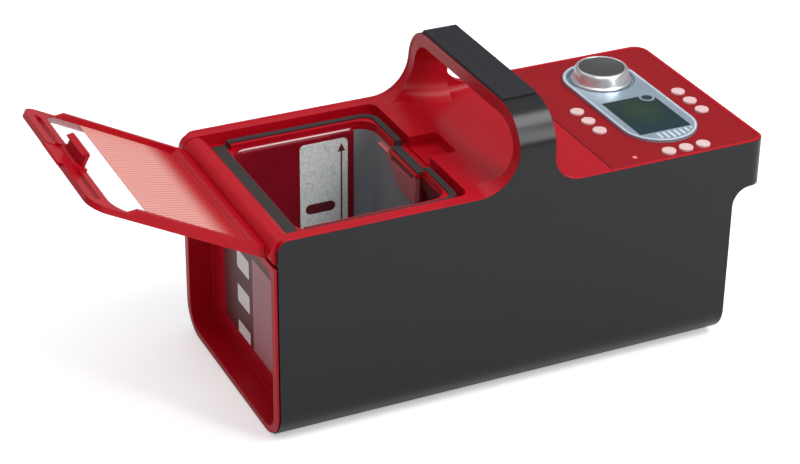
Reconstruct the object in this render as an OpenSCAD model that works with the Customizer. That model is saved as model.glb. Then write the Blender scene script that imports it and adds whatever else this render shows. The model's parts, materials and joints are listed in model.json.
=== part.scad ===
// Hot cold therapy machine: a hand-carried console that pumps chilled or warm water and air to a wrap.
// +X runs along the length to the control panel, -Y is the side with the long plain panel in view,
// +Z is up. The origin is the middle of the flat base. The lid stands open, as it does when it is filled.

/* [Body] */
// Overall length, hinge end to console end
body_l = 415; // [390:1:450]
// Overall width across the two long panels
body_w = 195; // [180:1:215]
// Height of the deck and of the long panels' top edge
deck_h = 174; // [165:1:195]
// Wall of the charcoal sleeve
sleeve_wall = 3; // [2.5:0.1:3.6]
// Radius along the two long bottom edges
bottom_edge_r = 26; // [18:1:30]
// Radius of the upright corners at the console end
upright_corner_r = 12; // [9:1:18]
// How far the console stands out past the lower end wall
overhang = 27; // [18:1:34]
// Height of the underside of that overhang
overhang_z = 135; // [125:1:142]
// Radius of the hollow corner under the overhang
overhang_r = 15; // [8:1:20]

/* [Handle] */
// Height of the top of the carrying handle
handle_h = 235; // [228:1:250]
// Width of the handle band along the body
handle_w = 30; // [26:1:36]
// Middle of the handle band, from the middle of the body
handle_x = 4; // [-2:1:8]
// Outer corner radius of the handle
handle_corner_r = 33; // [28:1:38]
// Red lining under the charcoal band
lining_t = 8.5; // [7:0.5:10]
// Radius of the upper corners of the hand hole
hand_hole_r = 22; // [16:1:26]
// Radius where the hand hole meets the deck
hand_floor_r = 15; // [8:1:20]
// Sweep from the deck up to the handle, reservoir side
cove_r = 33; // [24:1:38]
// Sweep from the deck up to the handle, console side
scoop_r = 23; // [16:1:28]
// Depth of the scooped hollow below the hand
scoop_depth = 6; // [3:0.5:8]
// Where the hollow starts, behind the handle's middle
scoop_back = 22; // [18:1:26]
// Distance from the near panel to the near end of the rubber grip
grip_end = 33.5; // [33:0.5:42]
// Distance from the far panel to the far end of the rubber grip
grip_far = 25; // [24.6:0.1:40]
// Thickness of the rubber grip
grip_t = 3.2; // [2.5:0.1:4]

/* [Reservoir and lid recess] */
// Length of the lid recess, hinge axis to its far wall
recess_l = 152.5; // [144:0.5:156]
// Width of the deck's rim on each side of the lid recess
recess_side = 11.7; // [10:0.1:17]
// Depth from the deck to the gasket ledge
recess_depth = 10; // [9:0.5:12]
// Corner radius of the recess
recess_r = 8; // [5:1:12]
// Width of the gasket ledge on the long sides
ledge_w = 13.8; // [10:0.1:15]
// Thickness of the ledge
ledge_t = 3; // [2:0.1:4]
// Inner corner radius of the reservoir
tub_r = 14; // [8:1:20]
// Wall of the reservoir
tub_wall = 2.5; // [2:0.1:3.5]
// Height of the reservoir's outer floor above the table
tub_floor_z = 34; // [26:1:45]
// Width of the gasket on the long sides
gasket_w = 5.2; // [4:0.1:6]
// Thickness of the gasket
gasket_t = 1.2; // [0.8:0.1:1.5]
// Height of the ridge that carries the gasket, above its ledge
ridge_t = 4; // [3:0.1:4]
// Room beside the latch in its finger pocket
pocket_side = 1; // [0.8:0.1:2]
// Length of that pocket
pocket_l = 23; // [16:1:24]
// Depth of that pocket
pocket_depth = 8.2; // [7.8:0.1:9]

/* [Lid] */
// Opening angle at rest, from shut
lid_open = 152; // [100:1:152]
// Distance of the hinge axis from the hinge end
hinge_inset = 8.2; // [8:0.1:10]
// Radius of the lid's hinge barrel
barrel_r = 10.5; // [9:0.1:10.8]
// Radius of the hinge pins
hinge_pin_r = 2.5; // [2:0.1:3]
// Depth of the lid's rim
lid_rim_d = 8.7; // [7:0.1:9.5]
// Width of the lid's rim
lid_rim_w = 3.6; // [3:0.1:5]
// Tip corner radius of the lid
lid_corner_r = 14; // [10:1:18]
// Corner radius of the window inside that corner
window_corner_r = 13; // [8:1:16]
// Width of the grip bar at the tip
tip_bar_w = 6.5; // [5:0.5:8]
// Width of the slots behind the grip bar
tip_slot_w = 5.5; // [4.6:0.1:7]
// Width of the cross bar behind the slots
tip_cross_w = 6; // [5:0.5:8]
// Thickness of the lid's bars at the tip
tip_t = 4.6; // [4:0.1:4.6]
// Thickness of the clear window
window_t = 1.8; // [1.4:0.1:2.4]
// Length of the dotted print, from its start near the hinge
print_l = 79; // [60:1:95]

/* [Latch] */
// Width of the latch
latch_w = 35; // [24:1:38]
// How far the latch tab stands past the lid's tip
latch_tab = 4; // [3:0.5:6]
// How far the hook reaches under the ledge
latch_bite = 2; // [1.5:0.1:2.2]

/* [Console] */
// Middle of the display group, from the console end
console_inset = 66.5; // [60:0.5:72]
// Thickness of the matte console overlay
overlay_t = 0.6; // [0.4:0.1:1]
// Length of the console from its crease to the console end
console_l = 138; // [130:1:142]
// Radius of the display bezel's round ends
bezel_r = 31.5; // [29:0.5:33]
// Distance from the far panel to the bezel's far end centre
bezel_far = 49; // [46:0.5:52]
// Distance from the near panel to the bezel's near end centre
bezel_near = 56; // [54:0.5:60]
// Height of the bezel above the console
bezel_h = 2.2; // [1.5:0.1:3]
// Length of the display window along the body
display_l = 46; // [40:1:48]
// Distance from the bezel's near end centre to the near edge of the display window
display_foot = 14.3; // [8:0.1:15]
// Distance from the dial's recess to the far edge of the display window
display_gap = 14.3; // [12:0.1:20]
// Diameter of the round sensor window
sensor_d = 9; // [7:0.5:10]
// Diameter of the status light
led_d = 4; // [3:0.5:5]

/* [Dial] */
// Diameter of the dial at its foot
dial_d = 50; // [46:0.5:51]
// Diameter of the dial's top edge
dial_top_d = 42.5; // [38:0.5:44]
// Height of the dial above the console
dial_h = 13; // [11:0.5:18]
// Diameter of the recess round the dial
dial_well_d = 56; // [54:0.5:57]

/* [Buttons] */
// Diameter of the nine buttons
button_d = 11.5; // [9:0.5:12.5]
// Height of a button above the console
button_h = 1.5; // [1.3:0.1:2.5]
// Travel of a button
button_travel = 1; // [0.6:0.1:1.2]
// Spacing of the three buttons in each side column
button_pitch = 18.2; // [16:0.1:20]
// Spacing of the three buttons in the front row
front_pitch = 15.3; // [14:0.1:17]
// Distance of a side column from the middle of the display
column_offset = 46.75; // [45:0.25:50]
// Distance of the front row from the near panel
front_inset = 12.4; // [11.5:0.1:14]

/* [Hinge end] */
// Width of the red rim round the hinge end
rim_w = 9; // [7:0.5:11]
// Depth of the recessed end wall
end_recess = 20; // [14:1:22]
// Thickness of the rim's flange
flange_t = 2.5; // [2:0.1:3.5]

/* [Inside] */
// Thickness of the chassis plate
chassis_t = 2.5; // [2:0.1:3.5]
// Diameter of the pump and compressor motors
motor_d = 36; // [30:1:40]
// Outer diameter of the water hoses
hose_d = 10; // [8:0.5:12]
// Outer diameter of the air tube
air_tube_d = 6; // [5:0.5:7]
// Thickness of the circuit boards
board_t = 1.6; // [1.2:0.1:2]

/* [Fits] */
// Gap between pieces that lie side by side
seam = 0.2; // [0.15:0.05:0.3]
// Gap round a piece that moves
moving_gap = 0.4; // [0.3:0.05:0.6]

/* [Hidden] */
BUTTONS = ["button_left_1", "button_left_2", "button_left_3",
           "button_right_1", "button_right_2", "button_right_3",
           "button_front_1", "button_front_2", "button_front_3"];
$fn = 64;
eps = 0.01;

half_l = body_l/2;
half_w = body_w/2;
end_wall_x = half_l - overhang;
inner_w = half_w - sleeve_wall - seam;       // half width of what lies inside the sleeve
handle_x0 = handle_x - handle_w/2;
handle_x1 = handle_x + handle_w/2;
hand_w = half_w - sleeve_wall - lining_t;    // half width of the hand hole
hand_z1 = handle_h - sleeve_wall - lining_t;
crease_x = half_l - console_l;
console_x = half_l - console_inset;
nose_r = 4;
base_end_r = 10;

hinge_x = -half_l + hinge_inset;
ear_r = barrel_r + 0.3;
hinge_z = deck_h - ear_r;
recess_x1 = hinge_x + recess_l;
recess_hw = half_w - recess_side;
ledge_z = deck_h - recess_depth;
ledge_x0 = hinge_x + barrel_r + 0.6;         // where the ledge starts, beside the barrel
tub_x0 = ledge_x0 + 11;
tub_x1 = recess_x1 - 10;
tub_hw = recess_hw - ledge_w;
pocket_w = latch_w + 2*pocket_side;
jog_w = pocket_w + 12;                       // width of the gasket's jog round the latch
jog = 5;

lid_l = recess_l - 1.5;
lid_hw = recess_hw - 0.8;
lid_t = ear_r;                               // height of the lid's top above the hinge axis
lid_under = lid_t - lid_rim_d;
slot_u1 = lid_l - tip_bar_w;
slot_u0 = slot_u1 - tip_slot_w;
cross_u0 = slot_u0 - tip_cross_w;
pad_u1 = tub_x0 - hinge_x + 1;               // end of the solid pad beside the barrel
window_lip = 2.1;                            // skin of the frame over the window's edge
window_hold = 1.5;                           // how far that skin reaches over the window
film_t = 0.3;                                // thickness of the dotted print
tip_u0 = cross_u0 - window_corner_r - 4;     // where the lid's rim starts to thin towards the tip

ridge_x0 = hinge_x + pad_u1 + 1.7;
ridge_x1 = recess_x1 - 3;
ridge_hw = lid_hw - lid_rim_w - 0.6;
ridge_r = 14;
ridge_z = ledge_z + ridge_t;
ridge_gap = jog_w/2 + 2;                     // half of the ridge's gap beside the latch
drop_t = 1.2;                                // wall of the gasket where it steps down

ledge_tab_u = jog + tub_x1 - hinge_x - 2*jog;  // lid-frame position of the ledge edge the hook grips
latch_u = ledge_tab_u + 1;                   // latch pivot
latch_pivot_t = 7.2;
latch_pin_r = 1.25;

deck_plate_t = 3;
console_z = deck_h - overlay_t;              // floor of the overlay's shallow seat
bezel_span = body_w - bezel_far - bezel_near; // distance between the bezel's end centres
bezel_y = (bezel_near - bezel_far)/2;
dial_y = bezel_y + bezel_span/2;
display_x = console_x - 0.5;
display_y1 = dial_y - dial_well_d/2 - display_gap;
display_y0 = bezel_y - bezel_span/2 - display_foot;
sensor_x = console_x + 16;
sensor_y = bezel_y - 1.7;
board_z = deck_h - 16;                       // top of the switch board
bezel_foot = 2;                              // depth of the bezel let into the deck

floor_z = sleeve_wall;                       // inside floor of the sleeve
chassis_z = floor_z + chassis_t;
hose_y = 34;
connector_z = 62;
inlet_x0 = end_wall_x - sleeve_wall - 9;     // back of the power inlet
unit_gap = 14;                               // room between the compressor and that back
pump_head_l = 19;
compressor_head_l = 24;
pump_point = [tub_x1 + 43 + pump_head_l, -(half_w - bottom_edge_r - 25.5)]; // near end of each motor
motor_l = (inlet_x0 - unit_gap - compressor_head_l - 17 - pump_point[0])/2;
compressor_point = [pump_point[0] + motor_l + 17, -(half_w - bottom_edge_r - 27.5)];

charcoal = [0.21, 0.22, 0.235];
panel_red = [0.72, 0.13, 0.17];
matte_red = [0.55, 0.09, 0.12];
dark_red = [0.45, 0.02, 0.07];
tub_grey = [0.27, 0.28, 0.29];
rubber_grey = [0.22, 0.24, 0.24];
silver = [0.75, 0.79, 0.82];
steel = [0.7, 0.7, 0.72];
board_green = [0.1, 0.35, 0.2];

// ---- drawing helpers ----

// A drawing of Y and Z, drawn out from x0 to x1
module along_x(x0, x1) {
    translate([x0, 0, 0]) rotate([90, 0, 90]) linear_extrude(x1 - x0) children();
}

// A drawing of X and Z, drawn out from y0 to y1
module along_y(y0, y1) {
    translate([0, y1, 0]) rotate([90, 0, 0]) linear_extrude(y1 - y0) children();
}

// A drawing of X and Y, drawn out from z0 to z1
module along_z(z0, z1) {
    translate([0, 0, z0]) linear_extrude(z1 - z0) children();
}

module rect(x0, x1, y0, y1) {
    translate([x0, y0]) square([x1 - x0, y1 - y0]);
}

// The sliver between a square corner and its rounding; dx and dy point from the corner into the shape
module corner_chip(x, y, dx, dy, r) {
    difference() {
        translate([x + (dx > 0 ? -eps : -r), y + (dy > 0 ? -eps : -r)]) square(r + eps);
        translate([x + dx*r, y + dy*r]) circle(r);
    }
}

// Rectangle with one radius for its lower corners and one for its upper ones
module round_rect(x0, x1, y0, y1, r_low, r_high) {
    difference() {
        rect(x0, x1, y0, y1);
        for (side = [[x0, 1], [x1, -1]]) {
            corner_chip(side[0], y0, side[1], 1, r_low);
            corner_chip(side[0], y1, side[1], -1, r_high);
        }
    }
}

module stadium(x, y, r, span) {
    translate([x, y]) {
        translate([-r, -span/2]) square([2*r, span]);
        for (s = [-1, 1]) translate([0, s*span/2]) circle(r);
    }
}

// ---- shared outlines of the body ----

// Side view of the box below the handle, drawn in by t from the outer face
module box_side(t, x0, z1) {
    difference() {
        rect(x0, half_l - t, t, z1);
        difference() {
            rect(end_wall_x - t, half_l + 1, -1, overhang_z + t);
            difference() {
                rect(end_wall_x - t - eps, end_wall_x + overhang_r, overhang_z - overhang_r, overhang_z + t + eps);
                translate([end_wall_x + overhang_r, overhang_z - overhang_r]) circle(overhang_r + t);
            }
        }
        corner_chip(half_l - t, overhang_z + t, -1, 1, nose_r - t);
        corner_chip(end_wall_x - t, t, -1, 1, base_end_r - t);
    }
}

// Side view of the handle leg and its two sweeps down to the deck
module leg_side() {
    rect(handle_x0, handle_x1, deck_h - 1, handle_h + 1);
    difference() {
        rect(handle_x0 - cove_r, handle_x0 + eps, deck_h - 1, deck_h + cove_r);
        translate([handle_x0 - cove_r, deck_h + cove_r]) circle(cove_r);
    }
    difference() {
        rect(handle_x1 - eps, handle_x1 + scoop_r, deck_h - 1, deck_h + scoop_r);
        translate([handle_x1 + scoop_r, deck_h + scoop_r]) circle(scoop_r);
    }
}

// End view of the body, drawn in by t
module body_end(t) {
    round_rect(-half_w + t, half_w - t, t, handle_h - t, bottom_edge_r - t, handle_corner_r - t);
}

// Plan of the body, drawn in by t; only the console end has round corners
module body_plan(t) {
    difference() {
        rect(-half_l - 20, half_l - t, -half_w + t, half_w - t);
        for (s = [-1, 1]) corner_chip(half_l - t, s*(half_w - t), -1, -s, upright_corner_r - t);
    }
}

// End view of the hand hole under the handle
module hand_hole_end() {
    round_rect(-hand_w, hand_w, deck_h, hand_z1, hand_floor_r, hand_hole_r);
}

// The scooped hollow below the hand is cut by a wide roller with round edges, resting across the deck
dip_x0 = handle_x - scoop_back;
dip_x = (dip_x0 + crease_x)/2;
dip_chord = crease_x - dip_x0;
roller_r = (dip_chord*dip_chord/4 + scoop_depth*scoop_depth)/(2*scoop_depth);
dip_edge_r = 6;                              // round edge of the hollow beside the console-side lip

module roller(hw, edge_r, t) {
    translate([dip_x, 0, deck_h - scoop_depth + roller_r]) rotate([90, 0, 0]) rotate_extrude($fn = 180)
        difference() {
            rect(0, roller_r + t, -hw - t, hw + t);
            for (s = [-1, 1]) corner_chip(roller_r + t, s*(hw + t), -1, -s, edge_r + t);
        }
}

module dip_cut() {
    intersection() {
        roller(hand_w, hand_floor_r, 0);
        along_z(0, deck_h + hand_floor_r) rect(recess_x1, half_l, -half_w, half_w);
    }
    intersection() {
        roller(inner_w - 3, dip_edge_r, -0.05);
        along_z(0, deck_h + 1) rect(handle_x1, crease_x, -half_w, half_w);
    }
}

// ---- casings ----

module outer_sleeve() {
    color(charcoal) difference() {
        intersection() {
            along_y(-half_w, half_w) difference() {
                union() {
                    box_side(0, -half_l + flange_t, deck_h);
                    leg_side();
                }
                corner_chip(-half_l + flange_t, deck_h, 1, -1, ear_r - flange_t);
            }
            along_x(-half_l, half_l) body_end(0);
            along_z(0, handle_h) body_plan(0);
        }
        intersection() {
            along_y(-half_w, half_w) box_side(sleeve_wall, -half_l - 1, handle_h);
            along_x(-half_l - 1, half_l) body_end(sleeve_wall);
            along_z(0, handle_h) body_plan(sleeve_wall);
        }
        foot_seats();
        base_screw_holes();
        base_vents();
        connector_hole();
        inlet_hole();
        grip_seat();
    }
}

pad_d = 18;
pad_t = 1.6;
pad_points = [for (x = [-half_l + 40, end_wall_x - 40], y = [-1, 1]) [x, y*(half_w - bottom_edge_r - 14)]];
module foot_seats() {
    for (p = pad_points) translate([p[0], p[1], -1]) cylinder(d = pad_d, h = 1 + pad_t);
}

module foot_pads() {
    color([0.12, 0.12, 0.13]) for (p = pad_points)
        translate([p[0], p[1], 0]) cylinder(d = pad_d - 2*seam, h = pad_t);
}

screw_d = 3.5;
screw_points = [for (x = [tub_x1 + 26, pump_point[0] + motor_l + 9.5, end_wall_x - 18.5], y = [-1, 1]) [x, y*(half_w - bottom_edge_r - 13.5)]];
module base_screw_holes() {
    for (p = screw_points) translate([p[0], p[1], -1]) {
        cylinder(d = screw_d + 0.4, h = 10);
        cylinder(d = 7.4, h = 2.5);
    }
}

module base_screws() {
    color(steel) for (p = screw_points) translate([p[0], p[1], 0.2]) difference() {
        union() {
            cylinder(d = 7, h = 1.3);
            cylinder(d = screw_d, h = chassis_z + 3.8);
        }
        translate([0, 0, -1]) cylinder(d = 3, h = 1.7, $fn = 6);
    }
}

module base_vents() {
    for (i = [0:7]) translate([85 + i*9, 0, -1]) along_z(0, 10) stadium(0, 0, 1.5, 40);
}

module end_bezel() {
    rim_z1 = hinge_z - ear_r - seam;
    body_z1 = hinge_z - barrel_r - 3.6;
    wall_in = -half_l + end_recess;
    color(panel_red) {
        // flange round the end, over the sleeve's edge
        along_x(-half_l, -half_l + flange_t - seam) difference() {
            intersection() {
                body_end(1.2);
                rect(-half_w, half_w, 0, rim_z1);
            }
            round_rect(-half_w + rim_w, half_w - rim_w, rim_w - 2, body_z1 - 4, bottom_edge_r - rim_w, 5);
        }
        // box of the recess, plugged into the sleeve
        along_x(-half_l + flange_t - seam - eps, wall_in) difference() {
            intersection() {
                body_end(sleeve_wall + seam);
                rect(-half_w, half_w, 0, body_z1);
            }
            round_rect(-half_w + rim_w, half_w - rim_w, rim_w - 2, body_z1 - 4, bottom_edge_r - rim_w, 5);
        }
        // recessed end wall
        along_x(wall_in - eps, wall_in + 2.5) intersection() {
            body_end(sleeve_wall + seam);
            rect(-half_w, half_w, 0, body_z1);
        }
    }
}

module end_label() {
    wall_in = -half_l + end_recess;
    color([0.8, 0.8, 0.78]) along_x(wall_in - 0.4 - 2*eps, wall_in - 2*eps)
        round_rect(-half_w + rim_w + 14, half_w - rim_w - 30, 26, 122, 4, 4);
}

module top_deck() {
    color(panel_red) {
    difference() {
        union() {
            hinge_end_block();
            mid_deck();
            console_plate();
            arch_lining();
            latch_pocket_box();
            switch_board_posts();
        }
        // lid recess, stepped down to the gasket ledge
        along_z(ledge_z, deck_h + 1) lid_recess_plan();
        // mouth of the reservoir
        along_z(ledge_z - 20, deck_h + 1) tub_mouth_plan(0);
        // trough for the hinge barrel
        along_y(-recess_hw, recess_hw) {
            translate([hinge_x, hinge_z]) circle(barrel_r + 0.6);
            rect(-half_l - 20, hinge_x, hinge_z - 1, deck_h + 1);
            rect(-half_l - 20, -half_l + flange_t + 1, hinge_z - 30, hinge_z);
        }
        dip_cut();
        // finger pocket for the latch
        along_z(deck_h - pocket_depth, deck_h + 1)
            round_rect(recess_x1 - 2, recess_x1 + pocket_l, -pocket_w/2, pocket_w/2, 3, 3);
        for (s = [-1, 1]) along_y(s*(recess_hw + 5.2) - 5.2, s*(recess_hw + 5.2) + 5.2)
            translate([hinge_x, hinge_z]) circle(hinge_pin_r + 0.05);
        console_cuts();
    }
    lid_ridge();
    }
}

// Ridge round the mouth that the gasket sits on; it is open beside the latch
module lid_ridge() {
    along_z(ledge_z - 0.5, ridge_z) difference() {
        ridge_outline(0, ridge_x0);
        round_rect(ridge_x0 - 40, tub_x1 + 0.3, -tub_hw - 0.3, tub_hw + 0.3, tub_r + 0.3, tub_r + 0.3);
        rect(ridge_x1 - 12, ridge_x1 + 1, -ridge_gap, ridge_gap);
    }
}

module ridge_outline(t, x0) {
    difference() {
        rect(x0, ridge_x1 - t, -ridge_hw + t, ridge_hw - t);
        for (s = [-1, 1]) corner_chip(ridge_x1 - t, s*(ridge_hw - t), -1, -s, ridge_r - t);
    }
}

// Deck between the recess and the console, hollow below with one wall following the scooped hollow
module mid_deck() {
    difference() {
        along_y(-inner_w, inner_w) rect(recess_x1 - 1, crease_x, deck_h - scoop_depth - deck_plate_t, deck_h);
        difference() {
            along_y(-inner_w + 6, inner_w - 6)
                rect(recess_x1 + 2, crease_x - 3, deck_h - scoop_depth - deck_plate_t - 1, deck_h - deck_plate_t);
            roller(hand_w, hand_floor_r, deck_plate_t);
            intersection() {
                roller(inner_w - 3, dip_edge_r, deck_plate_t - 0.05);
                along_z(0, deck_h) rect(handle_x1 - 3, crease_x, -half_w, half_w);
            }
        }
    }
}

// Solid end of the deck: ears, side rims, ledge and the barrel's trough
module hinge_end_block() {
    along_y(-inner_w, inner_w) {
        translate([hinge_x, hinge_z]) circle(ear_r);
        rect(hinge_x, recess_x1 + eps, ledge_z - ledge_t, deck_h);
    }
    along_y(-recess_hw - 1, recess_hw + 1) intersection() {
        translate([hinge_x, hinge_z]) circle(barrel_r + 3.1);
        rect(-half_l + flange_t + 1, ledge_x0 + 3, 0, hinge_z);
    }
}

module lid_recess_plan() {
    difference() {
        rect(hinge_x, recess_x1, -recess_hw, recess_hw);
        for (s = [-1, 1]) corner_chip(recess_x1, s*recess_hw, -1, -s, recess_r);
    }
}

// Mouth of the reservoir; the ledge keeps a tab under the latch
module tub_mouth_plan(t) {
    difference() {
        round_rect(tub_x0 + t, tub_x1 - t, -tub_hw + t, tub_hw - t, tub_r - t, tub_r - t);
        rect(tub_x1 - jog - t, tub_x1 + 1, -jog_w/2 - t, jog_w/2 + t);
    }
}

module console_plate() {
    intersection() {
        along_z(deck_h - 9, deck_h) intersection() {
            body_plan(sleeve_wall + seam);
            rect(crease_x - eps, half_l, -half_w, half_w);
        }
        union() {
            along_z(deck_h - 9, deck_h) difference() {
                body_plan(sleeve_wall + seam);
                body_plan(sleeve_wall + seam + 3);
            }
            along_z(deck_h - deck_plate_t - overlay_t, deck_h) body_plan(sleeve_wall + seam);
        }
    }
}

module overlay_plan(t) {
    intersection() {
        body_plan(sleeve_wall + seam + 1 + t);
        rect(crease_x + 1 + t, half_l, -half_w, half_w);
    }
}

// Arch inside the charcoal band, with its strips along the two sweeps
module arch_lining() {
    intersection() {
        along_x(handle_x0 - cove_r - 1, handle_x1) difference() {
            intersection() {
                body_end(sleeve_wall + seam);
                rect(-half_w, half_w, deck_h - 2, handle_h);
            }
            hand_hole_end();
        }
        along_y(-half_w, half_w) leg_side();
    }
    intersection() {
        along_x(handle_x1 - eps, handle_x1 + scoop_r + 1) difference() {
            intersection() {
                body_end(sleeve_wall + seam);
                rect(-half_w, half_w, deck_h - 2, handle_h);
            }
            body_end(sleeve_wall + seam + 3);
        }
        along_y(-half_w, half_w) leg_side();
    }
}

module latch_pocket_box() {
    along_z(deck_h - pocket_depth - 2.5, deck_h - 1)
        rect(recess_x1 - 1, recess_x1 + pocket_l + 2.5, -pocket_w/2 - 2.5, pocket_w/2 + 2.5);
}

// Posts that the switch board hangs from
post_points = [for (x = [-50, 50], y = [-inner_w + 23, inner_w - 22]) [console_x + x, y]];
module switch_board_posts() {
    for (p = post_points) translate([p[0], p[1], board_z]) cylinder(d = 7, h = console_z - board_z - 1);
}

module console_cuts() {
    along_z(console_z, deck_h + 1) overlay_plan(-seam);
    along_z(console_z - bezel_foot, deck_h) stadium(console_x, bezel_y, bezel_r - 2, bezel_span);
    along_z(board_z, deck_h) stadium(console_x, bezel_y, bezel_r - 5, bezel_span);
    for (p = button_points) translate([p[0], p[1], board_z]) cylinder(d = button_d + 2*moving_gap, h = 30);
    translate([light_point[0], light_point[1], board_z]) cylinder(d = led_d + 2*seam, h = 30);
}

// ---- reservoir ----

module reservoir_tub() {
    rim_z = ledge_z - ledge_t - seam;
    color(tub_grey) difference() {
        union() {
            along_z(tub_floor_z, rim_z) tub_plan(tub_wall);
            along_z(rim_z - 2.2, rim_z) tub_plan(tub_wall + 4);
        }
        along_z(tub_floor_z + tub_wall, rim_z + 1) tub_plan(0);
        // dark suction pocket beside the filter
        translate([tub_x1 - 1, -tub_hw + 8, rim_z - 34]) cube([tub_wall, 36, 26]);
        translate([tub_x1 - 3, hose_y, barb_z]) rotate([0, 90, 0]) cylinder(d = barb_d - 3, h = 20);
    }
    color(tub_grey) {
        // back of the suction pocket
        difference() {
            translate([tub_x1 + tub_wall - 1 - eps, -tub_hw + 6, rim_z - 36]) cube([9, 40, 30]);
            translate([tub_x1 - 1, -tub_hw + 8, rim_z - 34]) cube([8, 36, 26]);
        }
        translate([barb_x, hose_y, barb_z]) rotate([0, 90, 0]) difference() {
            cylinder(d = barb_d, h = barb_l);
            translate([0, 0, -1]) cylinder(d = barb_d - 3, h = 20);
        }
    }
}

module tub_plan(t) {
    round_rect(tub_x0 - 1 - t, tub_x1 - 0.5 + t, -tub_hw - t, tub_hw + t, tub_r + t, tub_r + t);
}

label_x0 = tub_x0 + tub_r;
label_x1 = tub_x1 - tub_r - 0.6;
module reservoir_label() {
    color(dark_red) along_y(tub_hw - 0.5, tub_hw)
        round_rect(label_x0, label_x1, tub_floor_z + 24, ledge_z - ledge_t - 1, 4, 4);
}

module fill_panel() {
    color([0.76, 0.79, 0.78]) along_y(tub_hw - 0.9, tub_hw - 0.5)
        round_rect(label_x1 - 46, label_x1 - 4.6, tub_floor_z + 38, ledge_z - 8, 4, 4);
}

module lid_gasket() {
    low_z = ledge_z + gasket_t;
    top_z = ridge_z + gasket_t;
    hw = ridge_hw - seam;
    x1 = ridge_x1 - seam;
    color(rubber_grey) {
        // along the ridge
        along_z(ridge_z, top_z) difference() {
            ridge_outline(seam, ridge_x0 - drop_t);
            ridge_outline(seam + gasket_w, ridge_x0 - drop_t - 1);
            rect(ridge_x1 - 12, ridge_x1 + 1, -ridge_gap + drop_t, ridge_gap - drop_t);
        }
        // steps down at its four ends
        for (s = [-1, 1]) {
            along_z(ledge_z, ridge_z + eps) rect(ridge_x0 - drop_t, ridge_x0, s > 0 ? hw - gasket_w : -hw, s > 0 ? hw : -hw + gasket_w);
            along_z(ledge_z, ridge_z + eps) rect(x1 - gasket_w, x1, s > 0 ? ridge_gap - drop_t : -ridge_gap, s > 0 ? ridge_gap : -ridge_gap + drop_t);
        }
        // strip beside the hinge
        along_z(ledge_z, low_z) difference() {
            rect(ledge_x0 + seam, ridge_x0 - eps, -hw, hw);
            rect(tub_x0 - 1, ridge_x0 + 1, -hw + gasket_w, hw - gasket_w);
        }
        // strip under the latch
        along_z(ledge_z, low_z) {
            rect(recess_x1 - jog - 8, recess_x1 - jog, -jog_w/2 + 0.5, jog_w/2 - 0.5);
            rect(tub_x1 + 0.5, recess_x1 - jog, -ridge_gap + eps, ridge_gap - eps);
        }
    }
}

filter_d = 4.5;                              // thickness of the intake's cover
module intake_filter() {
    x1 = tub_x1 - 0.5;
    z1 = ledge_z - ledge_t - 5;
    color([0.72, 0.42, 0.42]) difference() {
        union() {
            along_x(x1 - filter_d, x1) difference() {
                rect(-15, 44, z1 - 26, z1);
                polygon([[45, z1 - 9], [45, z1 - 27], [26, z1 - 27]]);
            }
            translate([x1 - filter_d, -18, z1 - 2.5]) cube([filter_d, 66, 2.5]);
        }
        for (i = [0:4]) translate([x1 - filter_d - 1, -9 + i*8, z1 - 20]) cube([1.6, 4, 12]);
    }
}

// ---- handle and console ----

module grip_seat() {
    along_x(handle_x0 - 1, handle_x1 + 1)
        rect(-half_w + grip_end, half_w - grip_far, handle_h - 1.2, handle_h + 1);
}

module handle_grip() {
    color([0.25, 0.26, 0.28]) along_x(handle_x0 + 0.1, handle_x1 - 0.1)
        round_rect(-half_w + grip_end + seam, half_w - grip_far - seam, handle_h - 1.2, handle_h - 1.2 + grip_t, 0.3, 1.6);
}

module console_overlay() {
    color(matte_red) difference() {
        along_z(console_z, deck_h) overlay_plan(0);
        along_z(console_z - 1, deck_h + 1) stadium(console_x, bezel_y, bezel_r - 1.5, bezel_span);
        for (p = button_points) translate([p[0], p[1], console_z - 1]) cylinder(d = button_d + 2*moving_gap, h = 3);
        translate([light_point[0], light_point[1], console_z - 1]) cylinder(d = led_d + 2*seam, h = 3);
    }
}

well_floor = 3.2;
module display_bezel() {
    color(silver) difference() {
        union() {
            along_z(deck_h, deck_h + bezel_h) stadium(console_x, bezel_y, bezel_r, bezel_span);
            along_z(console_z - bezel_foot, deck_h + eps) stadium(console_x, bezel_y, bezel_r - 2 - seam, bezel_span);
        }
        // well for the dial
        translate([console_x, dial_y, deck_h + bezel_h - well_floor]) cylinder(d = dial_well_d, h = well_floor + 1);
        translate([console_x, dial_y, 0]) cylinder(r = shaft_r + moving_gap, h = deck_h + 9);
        display_opening(0);
        translate([sensor_x, sensor_y, 0]) cylinder(d = sensor_d, h = deck_h + 9);
    }
}

module display_plan(t) {
    difference() {
        rect(display_x - display_l/2 + t, display_x + display_l/2 - t, display_y0 + t, display_y1 - t);
        translate([sensor_x, sensor_y]) circle(d = sensor_d + 4 + 2*t);
        translate([sensor_x, sensor_y - t]) square(display_l);
    }
}

module display_opening(t) {
    along_z(deck_h + bezel_h - 1.6, deck_h + bezel_h + 1) display_plan(t);
    along_z(console_z - 9, deck_h + bezel_h + 1) display_plan(t + 2);
}

module display_window() {
    color([0.16, 0.25, 0.24]) along_z(deck_h + bezel_h - 1.6, deck_h + bezel_h - 0.2) display_plan(seam);
}

module sensor_window() {
    color([0.1, 0.15, 0.16]) translate([sensor_x, sensor_y, deck_h + bezel_h - 3])
        cylinder(d = sensor_d - 2*seam, h = 2.9);
}

light_point = [console_x - 44.4, -half_w + front_inset + 2];
module status_light() {
    color([0.95, 0.45, 0.45]) translate([light_point[0], light_point[1], board_z]) {
        cylinder(d = led_d, h = deck_h + 0.3 - board_z);
    }
}

module display_module() {
    color([0.35, 0.38, 0.36]) along_z(board_z, console_z - bezel_foot - 1)
        rect(display_x - display_l/2 + 3, display_x + display_l/2 - 3, display_y0 + 3, display_y1 - 10);
}

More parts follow.
